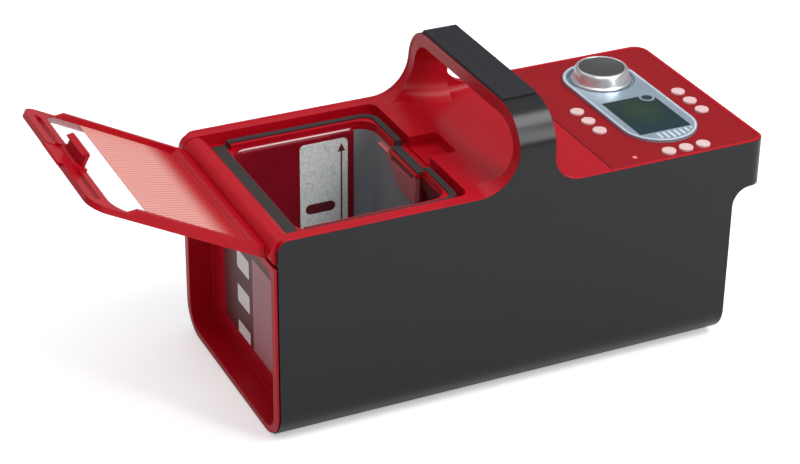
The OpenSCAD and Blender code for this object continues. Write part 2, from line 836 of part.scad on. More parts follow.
module switch_board() {
    color(board_green) difference() {
        union() {
            along_z(board_z - board_t, board_z)
                rect(console_x - 57, console_x + 57, -inner_w + 4, inner_w - 12);
            for (p = button_points) translate([p[0] - 3, p[1] - 3, board_z - eps]) cube([6, 6, switch_h]);
        }
        translate([console_x, dial_y, board_z - 5]) cylinder(r = shaft_r + 1, h = 9);
        for (p = post_points) translate([p[0], p[1], board_z - 5]) cylinder(d = 3, h = 9);
    }
}

// ---- dial ----

shaft_r = 3;
dial_foot_z = deck_h + bezel_h - well_floor + moving_gap;
dial_top_z = deck_h + dial_h;
module dial_knob() {
    color([0.84, 0.84, 0.85]) translate([console_x, dial_y, 0]) difference() {
        rotate_extrude() polygon([
            [0, dial_foot_z], [dial_d/2 - 0.8, dial_foot_z], [dial_d/2, dial_foot_z + 0.8],
            [dial_d/2, dial_foot_z + 3], [dial_d/2 - 1.4, dial_foot_z + 4.6],
            [dial_top_d/2 + 0.9, dial_top_z - 2.2], [dial_top_d/2, dial_top_z - 0.6],
            [dial_top_d/2 - 0.9, dial_top_z], [dial_top_d/2 - 2.4, dial_top_z],
            [dial_top_d/2 - 2.4, dial_top_z - 2.4], [0, dial_top_z - 2.4]]);
        translate([0, 0, dial_foot_z - 1]) cylinder(r = shaft_r, h = dial_top_z - 5 - dial_foot_z + 1);
    }
}

module dial_cap() {
    z1 = dial_top_z - 0.3;
    dish_r = 110;
    color([0.38, 0.37, 0.375]) translate([console_x, dial_y, 0]) rotate_extrude() difference() {
        rect(0, dial_top_d/2 - 2.4 - seam/2, dial_top_z - 2.4, z1);
        translate([0, z1 - 1.4 + dish_r]) circle(dish_r, $fn = 256);
    }
}

module dial_shaft() {
    color(steel) translate([console_x, dial_y, board_z + 1])
        cylinder(r = shaft_r - 0.02, h = dial_top_z - 5 - board_z - 1 - 0.1);
}

module dial_encoder() {
    top = console_z - bezel_foot - 1;
    color([0.3, 0.3, 0.32]) difference() {
        along_z(board_z, top - 1) rect(console_x - 8, console_x + 8, dial_y - 8, dial_y + 8);
        translate([console_x, dial_y, board_z + 0.6]) cylinder(r = shaft_r + 0.06, h = 30);
    }
}

// ---- buttons ----

button_points = concat(
    [for (i = [0:2]) [console_x - column_offset, bezel_y - 17.5 + button_pitch*(1 - i)]],
    [for (i = [0:2]) [console_x + column_offset, bezel_y - 17.5 + button_pitch*(1 - i)]],
    [for (i = [0:2]) [console_x + front_pitch*(i - 1), -half_w + front_inset]]);
switch_h = 5;

module panel_button(p) {
    color([0.86, 0.72, 0.72]) translate([p[0], p[1], 0]) {
        translate([0, 0, deck_h - 3]) rotate_extrude() polygon([
            [0, 0], [button_d/2, 0], [button_d/2, button_h + 2.4], [button_d/2 - 0.25, button_h + 2.75],
            [button_d/2 - 0.7, button_h + 3], [0, button_h + 3]]);
        translate([0, 0, board_z + switch_h + button_travel + 0.2])
            cylinder(d = 5, h = deck_h - 3 + eps - board_z - switch_h - button_travel - 0.2);
    }
}

// ---- inside ----

module chassis_plate() {
    color([0.3, 0.3, 0.31]) difference() {
        union() {
            along_z(floor_z, chassis_z)
                rect(tub_x1 + 8, end_wall_x - base_end_r - seam, -half_w + bottom_edge_r + 5.5, half_w - bottom_edge_r - 5.5);
            for (p = board_posts) translate([p[0], p[1], chassis_z - eps]) cylinder(d = 7, h = main_board_z - chassis_z);
            for (p = [pump_point, compressor_point]) along_x(p[0] + 4, p[0] + motor_l - 4) difference() {
                rect(p[1] - motor_d/2 - 3, p[1] + motor_d/2 + 3, chassis_z - eps, chassis_z + motor_d/2 - 2);
                translate([p[1], chassis_z + motor_d/2 + 1]) circle(d = motor_d + 0.3);
            }
            for (p = screw_points) translate([p[0], p[1], chassis_z - eps]) cylinder(d = 8, h = 4.5);
        }
        for (p = screw_points) translate([p[0], p[1], floor_z - 1]) cylinder(d = screw_d + 0.1, h = chassis_z + 2);
        translate([0, 0, -1]) base_vents();
    }
}

module motor(p, l) {
    z = chassis_z + motor_d/2 + 1;
    translate([p[0], p[1], z]) rotate([0, 90, 0]) {
        cylinder(d = motor_d, h = l);
        translate([0, 0, -3]) cylinder(d = motor_d*0.4, h = 3 + eps);
    }
}

module water_pump() {
    z = chassis_z + motor_d/2 + 1;
    color([0.35, 0.36, 0.38]) {
        motor(pump_point, motor_l);
        translate([pump_point[0] - 22, pump_point[1] - 20, chassis_z + 0.3]) cube([pump_head_l, 40, motor_d + 4]);
        translate([pump_port[0], pump_port[1], pump_port[2] - 1]) cylinder(d = barb_d, h = 13);
        translate([pump_out[0], pump_out[1] - 1, pump_out[2]]) rotate([-90, 0, 0]) cylinder(d = barb_d, h = 13);
    }
}

module air_compressor() {
    color([0.55, 0.56, 0.58]) {
        motor(compressor_point, motor_l);
        translate([compressor_point[0] + motor_l - eps, compressor_point[1] - 19, chassis_z + 0.3]) cube([compressor_head_l, 38, 44]);
        translate([compressor_port_x, compressor_point[1] + 6, chassis_z + 44]) cylinder(d = air_tube_d - 2, h = 10);
    }
}

compressor_port_x = compressor_point[0] + motor_l + 4;
valve_x = end_wall_x - sleeve_wall - 34;
module valve_block() {
    color([0.75, 0.74, 0.7]) difference() {
        union() {
            translate([valve_x, -14, chassis_z]) cube([26, 56, 74]);
            for (y = [0, 28]) translate([valve_x - 14, y, connector_z + 4]) rotate([0, 90, 0]) cylinder(d = 16, h = 15);
        }
        translate([valve_x + 20, 14, connector_z]) rotate([0, 90, 0]) cylinder(d = 12, h = 20);
    }
}

main_board_z = 22;
board_posts = [for (x = [0, 92], y = [22, 58]) [x + 20, y - 4]];
module main_board() {
    color(board_green) {
        along_z(main_board_z, main_board_z + board_t) rect(14, 118, 12, 60);
        translate([24, 22, main_board_z + board_t - eps]) cube([16, 14, 6]);
        translate([60, 26, main_board_z + board_t - eps]) cube([12, 12, 2]);
        for (i = [0:2]) translate([88 + i*10, 46, main_board_z + board_t - eps]) cylinder(d = 8, h = 11);
    }
}

// A hose along a list of points whose runs lie along the axes, with a round elbow at each turn
module hose(points, d, bend) {
    last = len(points) - 1;
    for (i = [0:last - 1]) {
        way = (points[i + 1] - points[i])/norm(points[i + 1] - points[i]);
        from = points[i] + (i > 0 ? bend : 0)*way;
        to = points[i + 1] - (i < last - 1 ? bend : 0)*way;
        translate(from) rotate([0, acos(way[2]), atan2(way[1], way[0])]) cylinder(d = d, h = norm(to - from));
        if (i > 0) {
            a = (points[i] - points[i - 1])/norm(points[i] - points[i - 1]);
            c = points[i] + bend*(way - a);
            z = cross(a, way);
            multmatrix([[-way[0], a[0], z[0], c[0]], [-way[1], a[1], z[1], c[1]], [-way[2], a[2], z[2], c[2]],
                        [0, 0, 0, 1]])
                rotate_extrude(angle = 90) translate([bend, 0]) circle(d = d);
        }
    }
}

// Barb of the reservoir's outlet, which the suction hose is pushed over
barb_d = hose_d - 3.6;
barb_x = tub_x1 - 0.5 + tub_wall - eps;
barb_z = tub_floor_z + 18;
barb_l = 12;
pump_port = [pump_point[0] - 12, pump_point[1], chassis_z + motor_d + 4.3];
module suction_hose() {
    top = pump_port[2] + 24;
    color([0.2, 0.2, 0.21]) difference() {
        hose([[barb_x + 0.3, hose_y, barb_z], [barb_x + 26, hose_y, barb_z], [barb_x + 26, hose_y, top],
              [pump_port[0], hose_y, top], [pump_port[0], pump_port[1], top],
              [pump_port[0], pump_port[1], pump_port[2] + 0.3]], hose_d, 12);
        translate([barb_x - 1, hose_y, barb_z]) rotate([0, 90, 0]) cylinder(d = barb_d + 0.1, h = barb_l + 1.5);
        translate([pump_port[0], pump_port[1], pump_port[2] - 1]) cylinder(d = barb_d + 0.1, h = 13.5);
    }
}

pump_out = [pump_point[0] - 12, pump_point[1] + 20, chassis_z + 14];
module pressure_hose() {
    top = connector_z - 20;
    color([0.2, 0.2, 0.21]) difference() {
        hose([[pump_out[0], pump_out[1] + 0.3, pump_out[2]], [pump_out[0], -6, pump_out[2]], [pump_out[0], -6, top],
              [valve_x - 0.3, -6, top]], hose_d, 11);
        translate([pump_out[0], pump_out[1] - 1, pump_out[2]]) rotate([-90, 0, 0]) cylinder(d = barb_d + 0.1, h = 13.5);
    }
}

module air_tube() {
    x = compressor_port_x;
    y = compressor_point[1] + 6;
    color([0.75, 0.8, 0.85]) difference() {
        hose([[x, y, chassis_z + 44.3], [x, y, 98], [x, 6, 98], [valve_x + 8, 6, 98],
              [valve_x + 8, 6, chassis_z + 74.3]], air_tube_d, 8);
        translate([x, y, chassis_z + 43]) cylinder(d = air_tube_d - 1.8, h = 11.5);
    }
}

module connector_hole() {
    translate([end_wall_x - sleeve_wall - 1, 0, 0]) along_x(0, 9)
        round_rect(-8, 36, connector_z - 15, connector_z + 15, 5, 5);
}

module hose_connector() {
    x0 = end_wall_x - sleeve_wall - 7.8;
    color([0.13, 0.13, 0.14]) difference() {
        union() {
            along_x(x0, end_wall_x + 0.2) round_rect(-8 + seam, 36 - seam, connector_z - 15 + seam,
                connector_z + 15 - seam, 5, 5);
            along_x(end_wall_x, end_wall_x + 1.8) round_rect(-11, 39, connector_z - 18, connector_z + 18, 6, 6);
        }
        for (y = [3, 25]) translate([end_wall_x - 5, y, connector_z]) rotate([0, 90, 0]) {
            cylinder(d = 14, h = 10);
            translate([0, 0, -4]) cylinder(d = 6, h = 5);
        }
    }
}

module inlet_hole() {
    translate([end_wall_x - sleeve_wall - 1, -46, 38]) rotate([0, 90, 0]) cylinder(d = 11, h = 9);
}

module power_inlet() {
    translate([inlet_x0, -46, 38]) rotate([0, 90, 0]) color([0.1, 0.1, 0.11]) difference() {
        union() {
            cylinder(d = 11 - 2*seam, h = sleeve_wall + 9 + 0.3);
            translate([0, 0, sleeve_wall + 9]) cylinder(d = 15, h = 1.5);
            translate([0, 0, 4]) cylinder(d = 15, h = 5 - seam);
        }
        translate([0, 0, 3]) difference() {
            cylinder(d = 6.4, h = 20);
            cylinder(d = 2, h = 8.5);
        }
    }
}

// ---- lid ----

// Places a piece drawn flat, as on a shut lid with the hinge axis at the origin, on the open lid
module on_lid() {
    translate([hinge_x, 0, hinge_z]) rotate([0, -lid_open, 0]) children();
}

module lid_plan(t) {
    difference() {
        rect(0, lid_l - t, -lid_hw + t, lid_hw - t);
        for (s = [-1, 1]) corner_chip(lid_l - t, s*(lid_hw - t), -1, -s, lid_corner_r - t);
    }
}

// Plan of the window's seat, between the pad, the two side rims and the cross bar
module window_plan(t) {
    hw = lid_hw - lid_rim_w - t;
    difference() {
        rect(pad_u1 + t, cross_u0 - t, -hw, hw);
        for (s = [-1, 1]) corner_chip(cross_u0 - t, s*hw, -1, -s, window_corner_r - t);
    }
}

module lid_frame() {
    color(panel_red) on_lid() difference() {
        union() {
            along_z(lid_under, lid_t) lid_plan(0);
            along_y(-lid_hw, lid_hw) circle(barrel_r);
        }
        // seat of the window, open through all but its edge
        along_z(lid_under - 1, lid_t - window_lip) window_plan(0);
        along_z(lid_under - 1, lid_t + 1) window_plan(window_hold);
        // thin tip, with a boss left on each side of the latch
        difference() {
            along_y(-lid_hw - 1, lid_hw + 1) polygon([[tip_u0, lid_under - 1], [tip_u0, lid_under],
                [tip_u0 + 6, lid_t - tip_t], [lid_l + 1, lid_t - tip_t], [lid_l + 1, lid_under - 1]]);
            for (s = [-1, 1]) along_y(s*(latch_w/2 + 2.45) - 2.4, s*(latch_w/2 + 2.45) + 2.4)
                rect(cross_u0, latch_u + 4.5, latch_pivot_t - 2.6, lid_t);
        }
        // slope from the pad beside the barrel to the window
        along_y(-lid_hw + lid_rim_w, lid_hw - lid_rim_w) polygon([[pad_u1 - 6, lid_under - 1], [pad_u1 - 6, lid_under],
            [pad_u1 + eps, lid_t - window_lip - window_t - film_t], [pad_u1 + eps, lid_under - 1]]);
        // slots behind the grip bar, either side of the latch
        for (s = [-1, 1]) along_z(lid_under - 1, lid_t + 1)
            stadium_along_y(slot_u0, slot_u1, s*(latch_w/2 + 5), s*(lid_hw - 13));
        // room for the latch
        along_z(lid_under - 1, lid_t - 0.8)
            rect(ledge_tab_u - 6.5, lid_l + 1, -latch_w/2 - moving_gap, latch_w/2 + moving_gap);
        along_y(-latch_w/2 - 4.5, latch_w/2 + 4.5) translate([latch_u, latch_pivot_t]) circle(latch_pin_r);
        // hinge pin holes
        for (s = [-1, 1]) along_y(s*(lid_hw - 8) - 9, s*(lid_hw - 8) + 9) circle(hinge_pin_r + 0.05);
    }
}

// Slot with round ends between two X and two Y values
module stadium_along_y(x0, x1, ya, yb) {
    r = (x1 - x0)/2;
    lo = min(ya, yb);
    hi = max(ya, yb);
    rect(x0, x1, lo + r, hi - r);
    for (y = [lo + r, hi - r]) translate([x0 + r, y]) circle(r);
}

module hinge_pins() {
    color(steel) translate([hinge_x, 0, hinge_z]) for (s = [-1, 1])
        along_y(s*(lid_hw - 2) - 9, s*(lid_hw - 2) + 9) circle(hinge_pin_r);
}

module lid_window() {
    z1 = lid_t - window_lip;
    color([0.9, 0.92, 0.93, 0.35]) on_lid() along_z(z1 - window_t, z1) window_plan(seam);
}

module lid_print() {
    z1 = lid_t - window_lip - window_t;
    color([0.9, 0.6, 0.58]) on_lid() along_z(z1 - film_t, z1) intersection() {
        window_plan(seam);
        rect(0, pad_u1 + print_l, -lid_hw, lid_hw);
    }
}

module latch_pin() {
    color(steel) on_lid() along_y(-latch_w/2 - 4, latch_w/2 + 4)
        translate([latch_u, latch_pivot_t]) circle(latch_pin_r);
}

module lid_latch() {
    hook_t = ledge_z - ledge_t - hinge_z;      // underside of the ledge, seen from the hinge axis
    arm_u = ledge_tab_u - 1.4;
    color(panel_red) on_lid() difference() {
        along_y(-latch_w/2, latch_w/2) {
            translate([latch_u, latch_pivot_t]) circle(2.6);
            rect(latch_u, lid_l + latch_tab - 1.2, latch_pivot_t - 0.6, latch_pivot_t + 1.8);
            translate([lid_l + latch_tab - 1.2, latch_pivot_t + 0.6]) circle(1.2);
            rect(arm_u - 2.8, arm_u, hook_t - 2.4, latch_pivot_t);
            rect(arm_u - 2.8, latch_u, latch_pivot_t - 2, latch_pivot_t + 1);
            polygon([[arm_u - 2.8, hook_t - 2.4], [arm_u - 1.4, hook_t - 4], [arm_u, hook_t - 4],
                     [ledge_tab_u + latch_bite, hook_t - 1.4], [ledge_tab_u + latch_bite, hook_t - 0.5],
                     [arm_u - 1, hook_t - 0.5]]);
        }
        along_y(-latch_w/2 - 1, latch_w/2 + 1) translate([latch_u, latch_pivot_t]) circle(latch_pin_r + 0.05);
    }
}

outer_sleeve();
top_deck();
end_bezel();
end_label();
reservoir_tub();
reservoir_label();
fill_panel();
lid_gasket();
intake_filter();
handle_grip();
console_overlay();
display_bezel();
display_window();
sensor_window();
status_light();
display_module();
switch_board();
dial_encoder();
chassis_plate();
water_pump();
air_compressor();
valve_block();
main_board();
suction_hose();
pressure_hose();
air_tube();
hose_connector();
power_inlet();
hinge_pins();
foot_pads();
base_screws();
lid_frame();
lid_window();
lid_print();
latch_pin();
lid_latch();
dial_knob();
dial_cap();
dial_shaft();
panel_button(button_points[0]);  // button_left_1
panel_button(button_points[1]);  // button_left_2
panel_button(button_points[2]);  // button_left_3
panel_button(button_points[3]);  // button_right_1
panel_button(button_points[4]);  // button_right_2
panel_button(button_points[5]);  // button_right_3
panel_button(button_points[6]);  // button_front_1
panel_button(button_points[7]);  // button_front_2
panel_button(button_points[8]);  // button_front_3
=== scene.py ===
"""Looks of a portable hot and cold therapy machine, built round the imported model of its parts.

+X runs along the length to the control console, -Y is the long side in view, +Z is up, all in
metres. The lid stands open at rest.
"""
import json
import math

import bmesh
import bpy
import numpy as np
from mathutils import Matrix, Vector

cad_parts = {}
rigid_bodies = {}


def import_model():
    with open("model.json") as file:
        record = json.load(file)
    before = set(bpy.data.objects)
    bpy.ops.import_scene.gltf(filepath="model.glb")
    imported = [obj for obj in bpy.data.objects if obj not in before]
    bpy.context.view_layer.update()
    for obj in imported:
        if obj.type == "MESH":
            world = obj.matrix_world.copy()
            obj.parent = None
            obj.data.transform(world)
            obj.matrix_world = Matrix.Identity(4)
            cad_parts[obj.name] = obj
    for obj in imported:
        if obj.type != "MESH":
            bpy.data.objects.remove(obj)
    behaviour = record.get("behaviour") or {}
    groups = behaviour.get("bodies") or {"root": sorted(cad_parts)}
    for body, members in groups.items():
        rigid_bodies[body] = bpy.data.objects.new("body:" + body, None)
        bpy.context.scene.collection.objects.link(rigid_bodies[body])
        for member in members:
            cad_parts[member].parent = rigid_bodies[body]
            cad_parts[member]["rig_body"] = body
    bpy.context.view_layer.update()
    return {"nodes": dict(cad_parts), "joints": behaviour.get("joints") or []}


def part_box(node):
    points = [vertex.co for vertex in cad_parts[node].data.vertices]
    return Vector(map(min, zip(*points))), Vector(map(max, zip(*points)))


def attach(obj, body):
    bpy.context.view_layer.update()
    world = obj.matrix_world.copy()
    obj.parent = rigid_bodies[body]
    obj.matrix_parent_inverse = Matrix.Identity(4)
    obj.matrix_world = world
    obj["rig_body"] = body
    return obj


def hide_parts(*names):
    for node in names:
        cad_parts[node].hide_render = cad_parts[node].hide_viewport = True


bl_info = {
    "name": "Therapy machine looks",
    "version": (1, 0, 0),
    "blender": (4, 0, 0),
    "location": "3D View > Sidebar > Therapy",
    "description": "Dresses the packed therapy machine with finished surfaces and a stage",
    "category": "Object",
}

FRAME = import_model()
NODES = FRAME["nodes"]
LID = next(j for j in FRAME["joints"] if j["name"] == "lid_hinge")
HINGE = Vector(LID["pos_m"])
LID_OPEN = math.radians(LID["range_deg"][1])

# the photograph's camera, fitted to the machine's outline: degrees, metres, pixels
PHOTO_AZIMUTH, PHOTO_ELEVATION, PHOTO_ROLL = -25.349, 28.891, 0.643
PHOTO_PLACE = (-0.7271, -1.4026, 0.9589)
PHOTO_FOCAL, PHOTO_WIDTH = 2258.8, 800
SENSOR_MM = 36.0

# width of a cell of the lid's dot pattern, as a share of its pitch along the lid
CELL_WIDTH = 1.25


def mm(value):
    """Millimetres to metres."""
    return value / 1000


def linear(r, g, b):
    """Linear colour from screen values of 0 to 255."""
    def one(v):
        v /= 255
        return v / 12.92 if v <= 0.04045 else ((v + 0.055) / 1.055) ** 2.4
    return (one(r), one(g), one(b))


# ---- shader maths ----


class Value:
    """A number socket. An expression on values adds the Math nodes that work it out."""

    def __init__(self, paint, socket):
        self.paint = paint
        self.socket = socket

    def _math(self, operation, *terms):
        return self.paint.node("ShaderNodeMath", {"operation": operation}, list(terms))

    def __add__(self, other):
        return self._math("ADD", self, other)

    def __sub__(self, other):
        return self._math("SUBTRACT", self, other)

    def __rsub__(self, other):
        return self._math("SUBTRACT", other, self)

    def __mul__(self, other):
        return self._math("MULTIPLY", self, other)

    def __truediv__(self, other):
        return self._math("DIVIDE", self, other)

    def __pow__(self, other):
        return self._math("POWER", self, other)

    def __mod__(self, other):
        return self._math("FLOORED_MODULO", self, other)

    def __gt__(self, other):
        return self._math("GREATER_THAN", self, other)

    def __lt__(self, other):
        return self._math("LESS_THAN", self, other)

    def __abs__(self):
        return self._math("ABSOLUTE", self)

    __radd__ = __add__
    __rmul__ = __mul__

    def floor(self):
        return self._math("FLOOR", self)

    def max(self, other):
        return self._math("MAXIMUM", self, other)

    def ramp(self, low, high, start=0.0, end=1.0):
        """Smooth rise from start to end as the value goes from low to high."""
        return self.paint.node("ShaderNodeMapRange", {"interpolation_type": "SMOOTHSTEP"},
                               [self, low, high, start, end])


class Paint:
    """One material on the Principled shader. Constants go straight on its sockets."""

    def __init__(self, name, colour, roughness=0.4, metallic=0.0, **fixed):
        self.material = bpy.data.materials.new(name)
        self.material.use_nodes = True
        self.material.diffuse_color = (*colour, 1.0)
        self.tree = self.material.node_tree
        self.shader = self.tree.nodes["Principled BSDF"]
        self.set("Base Color", (*colour, 1.0))
        self.set("Roughness", roughness)
        self.set("Metallic", metallic)
        for socket, value in fixed.items():
            self.set(socket.replace("_", " "), value)
        self._place = None

    def set(self, socket, value):
        """A constant, or a link, on one of the shader's sockets."""
        self.feed(self.shader.inputs[socket], value)
        return self

    def feed(self, socket, value):
        """Links a value to a socket, or sets the socket's constant."""
        if isinstance(value, Value):
            self.tree.links.new(value.socket, socket)
        elif value is not None:
            if hasattr(value, "__len__") and len(value) == 3 and socket.type == "RGBA":
                value = (*value, 1.0)
            socket.default_value = value

    def node(self, kind, settings, values, out=0):
        """Adds a node: its settings first, then the values or links of its sockets."""
        node = self.tree.nodes.new(kind)
        for name, value in settings.items():
            setattr(node, name, value)
        pairs = values.items() if isinstance(values, dict) else enumerate(values)
        for key, value in pairs:
            self.feed(node.inputs[key], value)
        return Value(self, node.outputs[out])

    @property
    def place(self):
        """Object coordinates, in metres."""
        if self._place is None:
            self._place = self.node("ShaderNodeTexCoord", {}, [], "Object")
        return self._place

    def axes(self):
        """The three object coordinates as numbers."""
        split = self.node("ShaderNodeSeparateXYZ", {}, [self.place])
        outs = split.socket.node.outputs
        return [Value(self, outs[i]) for i in range(3)]

    def vector(self, x, y, z):
        return self.node("ShaderNodeCombineXYZ", {}, [x, y, z])

    def noise(self, size, detail=2.0, roughness=0.5, at=None, stretch=None):
        """Noise from 0 to 1 whose features are about size metres."""
        at = at or self.place
        if stretch:
            at = self.node("ShaderNodeMapping", {}, {0: at, 3: stretch})
        return self.node("ShaderNodeTexNoise", {}, {"Vector": at, "Scale": 1 / size,
                                                    "Detail": detail, "Roughness": roughness})

    def mix(self, factor, a, b):
        """Colour a where factor is 0 and b where it is 1."""
        node = self.tree.nodes.new("ShaderNodeMix")
        node.data_type = "RGBA"
        self.feed(node.inputs[0], factor)
        self.feed(node.inputs[6], a)
        self.feed(node.inputs[7], b)
        return Value(self, node.outputs[2])

    def bump(self, height, distance):
        """A normal bent by height, from 0 to 1, times distance in metres."""
        node = self.tree.nodes.new("ShaderNodeBump")
        node.inputs["Strength"].default_value = 1.0
        node.inputs["Distance"].default_value = distance
        self.feed(node.inputs["Height"], height)
        return Value(self, node.outputs[0])


def tones(colour, drift):
    """A darker and a lighter tone of a colour."""
    darker = tuple(c * (1 - drift) for c in colour)
    lighter = tuple(min(1.0, c * (1 + drift)) for c in colour)
    return darker, lighter


def moulded(name, colour, roughness, grain=0.0004, depth=0.00002, drift=0.07, gloss=0.25):
    """Moulded plastic: fine grain, soft drift of tone and a roughness that varies a little."""
    paint = Paint(name, colour, roughness, Specular_IOR_Level=gloss)
    broad = paint.noise(0.05, 3)
    fine = paint.noise(grain, 2)
    paint.set("Base Color", paint.mix(broad, *tones(colour, drift)))
    paint.set("Roughness", roughness - 0.05 + 0.07 * broad + 0.03 * fine)
    paint.set("Normal", paint.bump(fine, depth))
    return paint


# ---- mesh making ----


def settle(obj, body, slot, *nodes):
    """Puts a finished piece on its body and hides the nodes that it stands for. Its slot is not
    used.
    """
    if obj.name not in bpy.context.scene.collection.objects:
        bpy.context.scene.collection.objects.link(obj)
    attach(obj, body)
    if nodes:
        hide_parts(*nodes)
    return obj


def smooth(mesh, angle=32):
    """Smooth shading with edges kept sharp past an angle."""
    mesh.shade_smooth()
    mesh.set_sharp_from_angle(angle=math.radians(angle))


def dressed(node, name, paint, slot, bevel=0.0006, steps=2, angle=28):
    """A merged copy of a CAD node: flat faces joined, shading smoothed and edges rounded."""
    mesh = NODES[node].data.copy()
    mesh.name = name
    bm = bmesh.new()
    bm.from_mesh(mesh)
    bmesh.ops.remove_doubles(bm, verts=bm.verts, dist=2e-6)
    bmesh.ops.dissolve_limit(bm, angle_limit=math.radians(0.4), verts=bm.verts, edges=bm.edges)
    bm.to_mesh(mesh)
    bm.free()
    if mesh.has_custom_normals:
        mesh.attributes.remove(mesh.attributes["custom_normal"])
    smooth(mesh)
    mesh.materials.clear()
    mesh.materials.append(paint.material)
    obj = bpy.data.objects.new(name, mesh)
    if bevel:
        round_off = obj.modifiers.new("round edges", "BEVEL")
        round_off.width = bevel
        round_off.segments = steps
        round_off.limit_method = "ANGLE"
        round_off.angle_limit = math.radians(angle)
        round_off.use_clamp_overlap = True
        round_off.harden_normals = True
        round_off.miter_outer = "MITER_ARC"
    return settle(obj, NODES[node]["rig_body"], slot, node)


def surface(name, points, paint, wrap_u=False, wrap_v=False, caps=False, angle=32):
    """A grid of points, rows by columns by 3, as a mesh of quads; wrapped where it closes on
    itself. With caps, the first and last rows are closed with one face each."""
    rows, cols = points.shape[:2]
    r = np.arange(rows if wrap_u else rows - 1)
    c = np.arange(cols if wrap_v else cols - 1)
    r, c = np.meshgrid(r, c, indexing="ij")
    r2, c2 = (r + 1) % rows, (c + 1) % cols
    quads = np.stack([r * cols + c, r * cols + c2, r2 * cols + c2, r2 * cols + c], -1)
    faces = quads.reshape(-1, 4).tolist()
    if caps:
        faces.append(list(range(cols))[::-1])
        faces.append([(rows - 1) * cols + i for i in range(cols)])
    mesh = bpy.data.meshes.new(name)
    mesh.from_pydata(points.reshape(-1, 3).tolist(), [], faces)
    bm = bmesh.new()
    bm.from_mesh(mesh)
    bmesh.ops.remove_doubles(bm, verts=bm.verts, dist=1e-7)
    bmesh.ops.recalc_face_normals(bm, faces=bm.faces)
    bm.to_mesh(mesh)
    bm.free()
    smooth(mesh, angle)
    mesh.materials.append(paint.material)
    return bpy.data.objects.new(name, mesh)


def ribbon(name, spine, across, up, half, tall, paint, closed=False):
    """A low strip with round upper edges carried along a spine:
    point = spine + a * across + h * up, where (a, h) runs round the strip's section."""
    sunk = -mm(0.2)
    corners = [(-half, sunk), (-half, tall), (half, tall), (half, sunk)]
    section = rounded(corners, tall * 0.8, 3)
    points = (spine[:, None] + section[None, :, :1] * across[:, None]
              + section[None, :, 1:] * up[:, None])
    return surface(name, points, paint, wrap_u=closed, wrap_v=True, caps=not closed, angle=50)


def rounded(points, radius, steps=4):
    """A profile with its inner corners rounded. Each is the curve
    (1-t)^2 start + 2t(1-t) corner + t^2 end, whose ends lie radius away from the corner, or half
    of the side where that is shorter."""
    points = [np.array(p, float) for p in points]
    out = [points[0]]
    for before, corner, after in zip(points, points[1:], points[2:]):
        a, b = before - corner, after - corner
        ra = min(radius, 0.49 * np.linalg.norm(a))
        rb = min(radius, 0.49 * np.linalg.norm(b))
        start = corner + a / np.linalg.norm(a) * ra
        end = corner + b / np.linalg.norm(b) * rb
        t = np.linspace(0, 1, steps + 1)[:, None]
        out.extend((1 - t) ** 2 * start + 2 * t * (1 - t) * corner + t ** 2 * end)
    out.append(points[-1])
    return np.array(out)


def centre_of(node):
    """Middle of a node's box."""
    low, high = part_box(node)
    return (low + high) / 2


# ---- finishes ----


def shell_finish(look):
    """Charcoal panels: smooth, with a very fine grain."""
    return moulded("charcoal shell", look.shell_colour, 0.24, grain=0.0006, depth=0.000008,
                   drift=0.04, gloss=0.42)


def deck_finish(look):
    """Red moulding with a soft sheen and a faint waviness."""
    return moulded("red moulding", look.deck_colour, 0.3, grain=0.0012, depth=0.00001,
                   drift=0.05, gloss=0.2)


def overlay_finish(look):
    """Matte red sheet with a fine stipple, and painted shade: darker along the edge beside the
    handle, for the shadow in the crease there.
    """
    red = look.overlay_colour
    paint = moulded("matte red sheet", red, 0.62, grain=0.0005, depth=0.00003,
                    drift=0.05, gloss=0.2)
    x = paint.axes()[0]
    # painted shade: a dark line along the sheet's edge beside the handle stands for the shadow in
    # the crease
    edge = (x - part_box("console_overlay")[0].x).ramp(0.0006, 0.0016, 1.0, 0.0)
    base = paint.mix(paint.noise(0.05, 3), *tones(red, 0.05))
    paint.set("Base Color", paint.mix(edge * 0.8, base, linear(70, 2, 10)))
    return paint


def tank_finish():
    """Blue-grey tank, with painted shade in dark red where its suction pocket opens beside the
    cover.
    """
    paint = moulded("grey tank", linear(124, 127, 132), 0.38, grain=0.0008, depth=0.00002)
    x, y, z = paint.axes()
    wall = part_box("intake_filter")[1]
    # painted shade: the wall beside the cover, where the suction pocket opens, is coloured dark
    # red for the shade in that recess
    pocket_shade = (x > wall.x - 0.0008) * (y < -0.0235) * (z > wall.z - 0.018)
    grey = paint.mix(paint.noise(0.05, 3), linear(132, 136, 140), linear(146, 149, 153))
    paint.set("Base Color", paint.mix(pocket_shade, grey, linear(92, 4, 14)))
    return paint


def tank_film():
    """The film on the tank's far wall and round its hinge-side corner: in plan an arc,
    (x, y) = centre + r (cos a, sin a), then a straight. Round corners end it at the free edge."""
    low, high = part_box("reservoir_label")
    corner, gap, round_off = mm(14), mm(0.4), mm(4)
    arc_steps = 12
    turn = np.radians(np.linspace(165, 90, arc_steps))
    end = high.x + mm(0.9)
    straight = np.concatenate([np.linspace(low.x, end, 24)[1:-1],
                               end - np.array([0.003, 0.002, 0.001, 0.0004, 0])])
    x = np.concatenate([low.x + (corner - gap) * np.cos(turn), np.sort(straight)])
    y = np.concatenate([high.y - corner + (corner - gap) * np.sin(turn),
                        np.full(len(straight), high.y - gap)])
    from_end = np.clip(round_off - (x[-1] - x), 0, None)
    cut = round_off - np.sqrt(np.clip(round_off ** 2 - from_end ** 2, 0, None))
    bottom, top = low.z + cut, high.z + mm(3.4) - cut
    up = np.linspace(0, 1, 20)
    z = bottom[:, None] + (top - bottom)[:, None] * up
    points = np.stack([np.broadcast_to(x[:, None], z.shape),
                       np.broadcast_to(y[:, None], z.shape), z], -1)
    film = surface("tank_film", points, label_finish())
    sheet = film.modifiers.new("sheet", "SOLIDIFY")
    sheet.thickness = mm(0.25)
    sheet.offset = 0.0
    return film


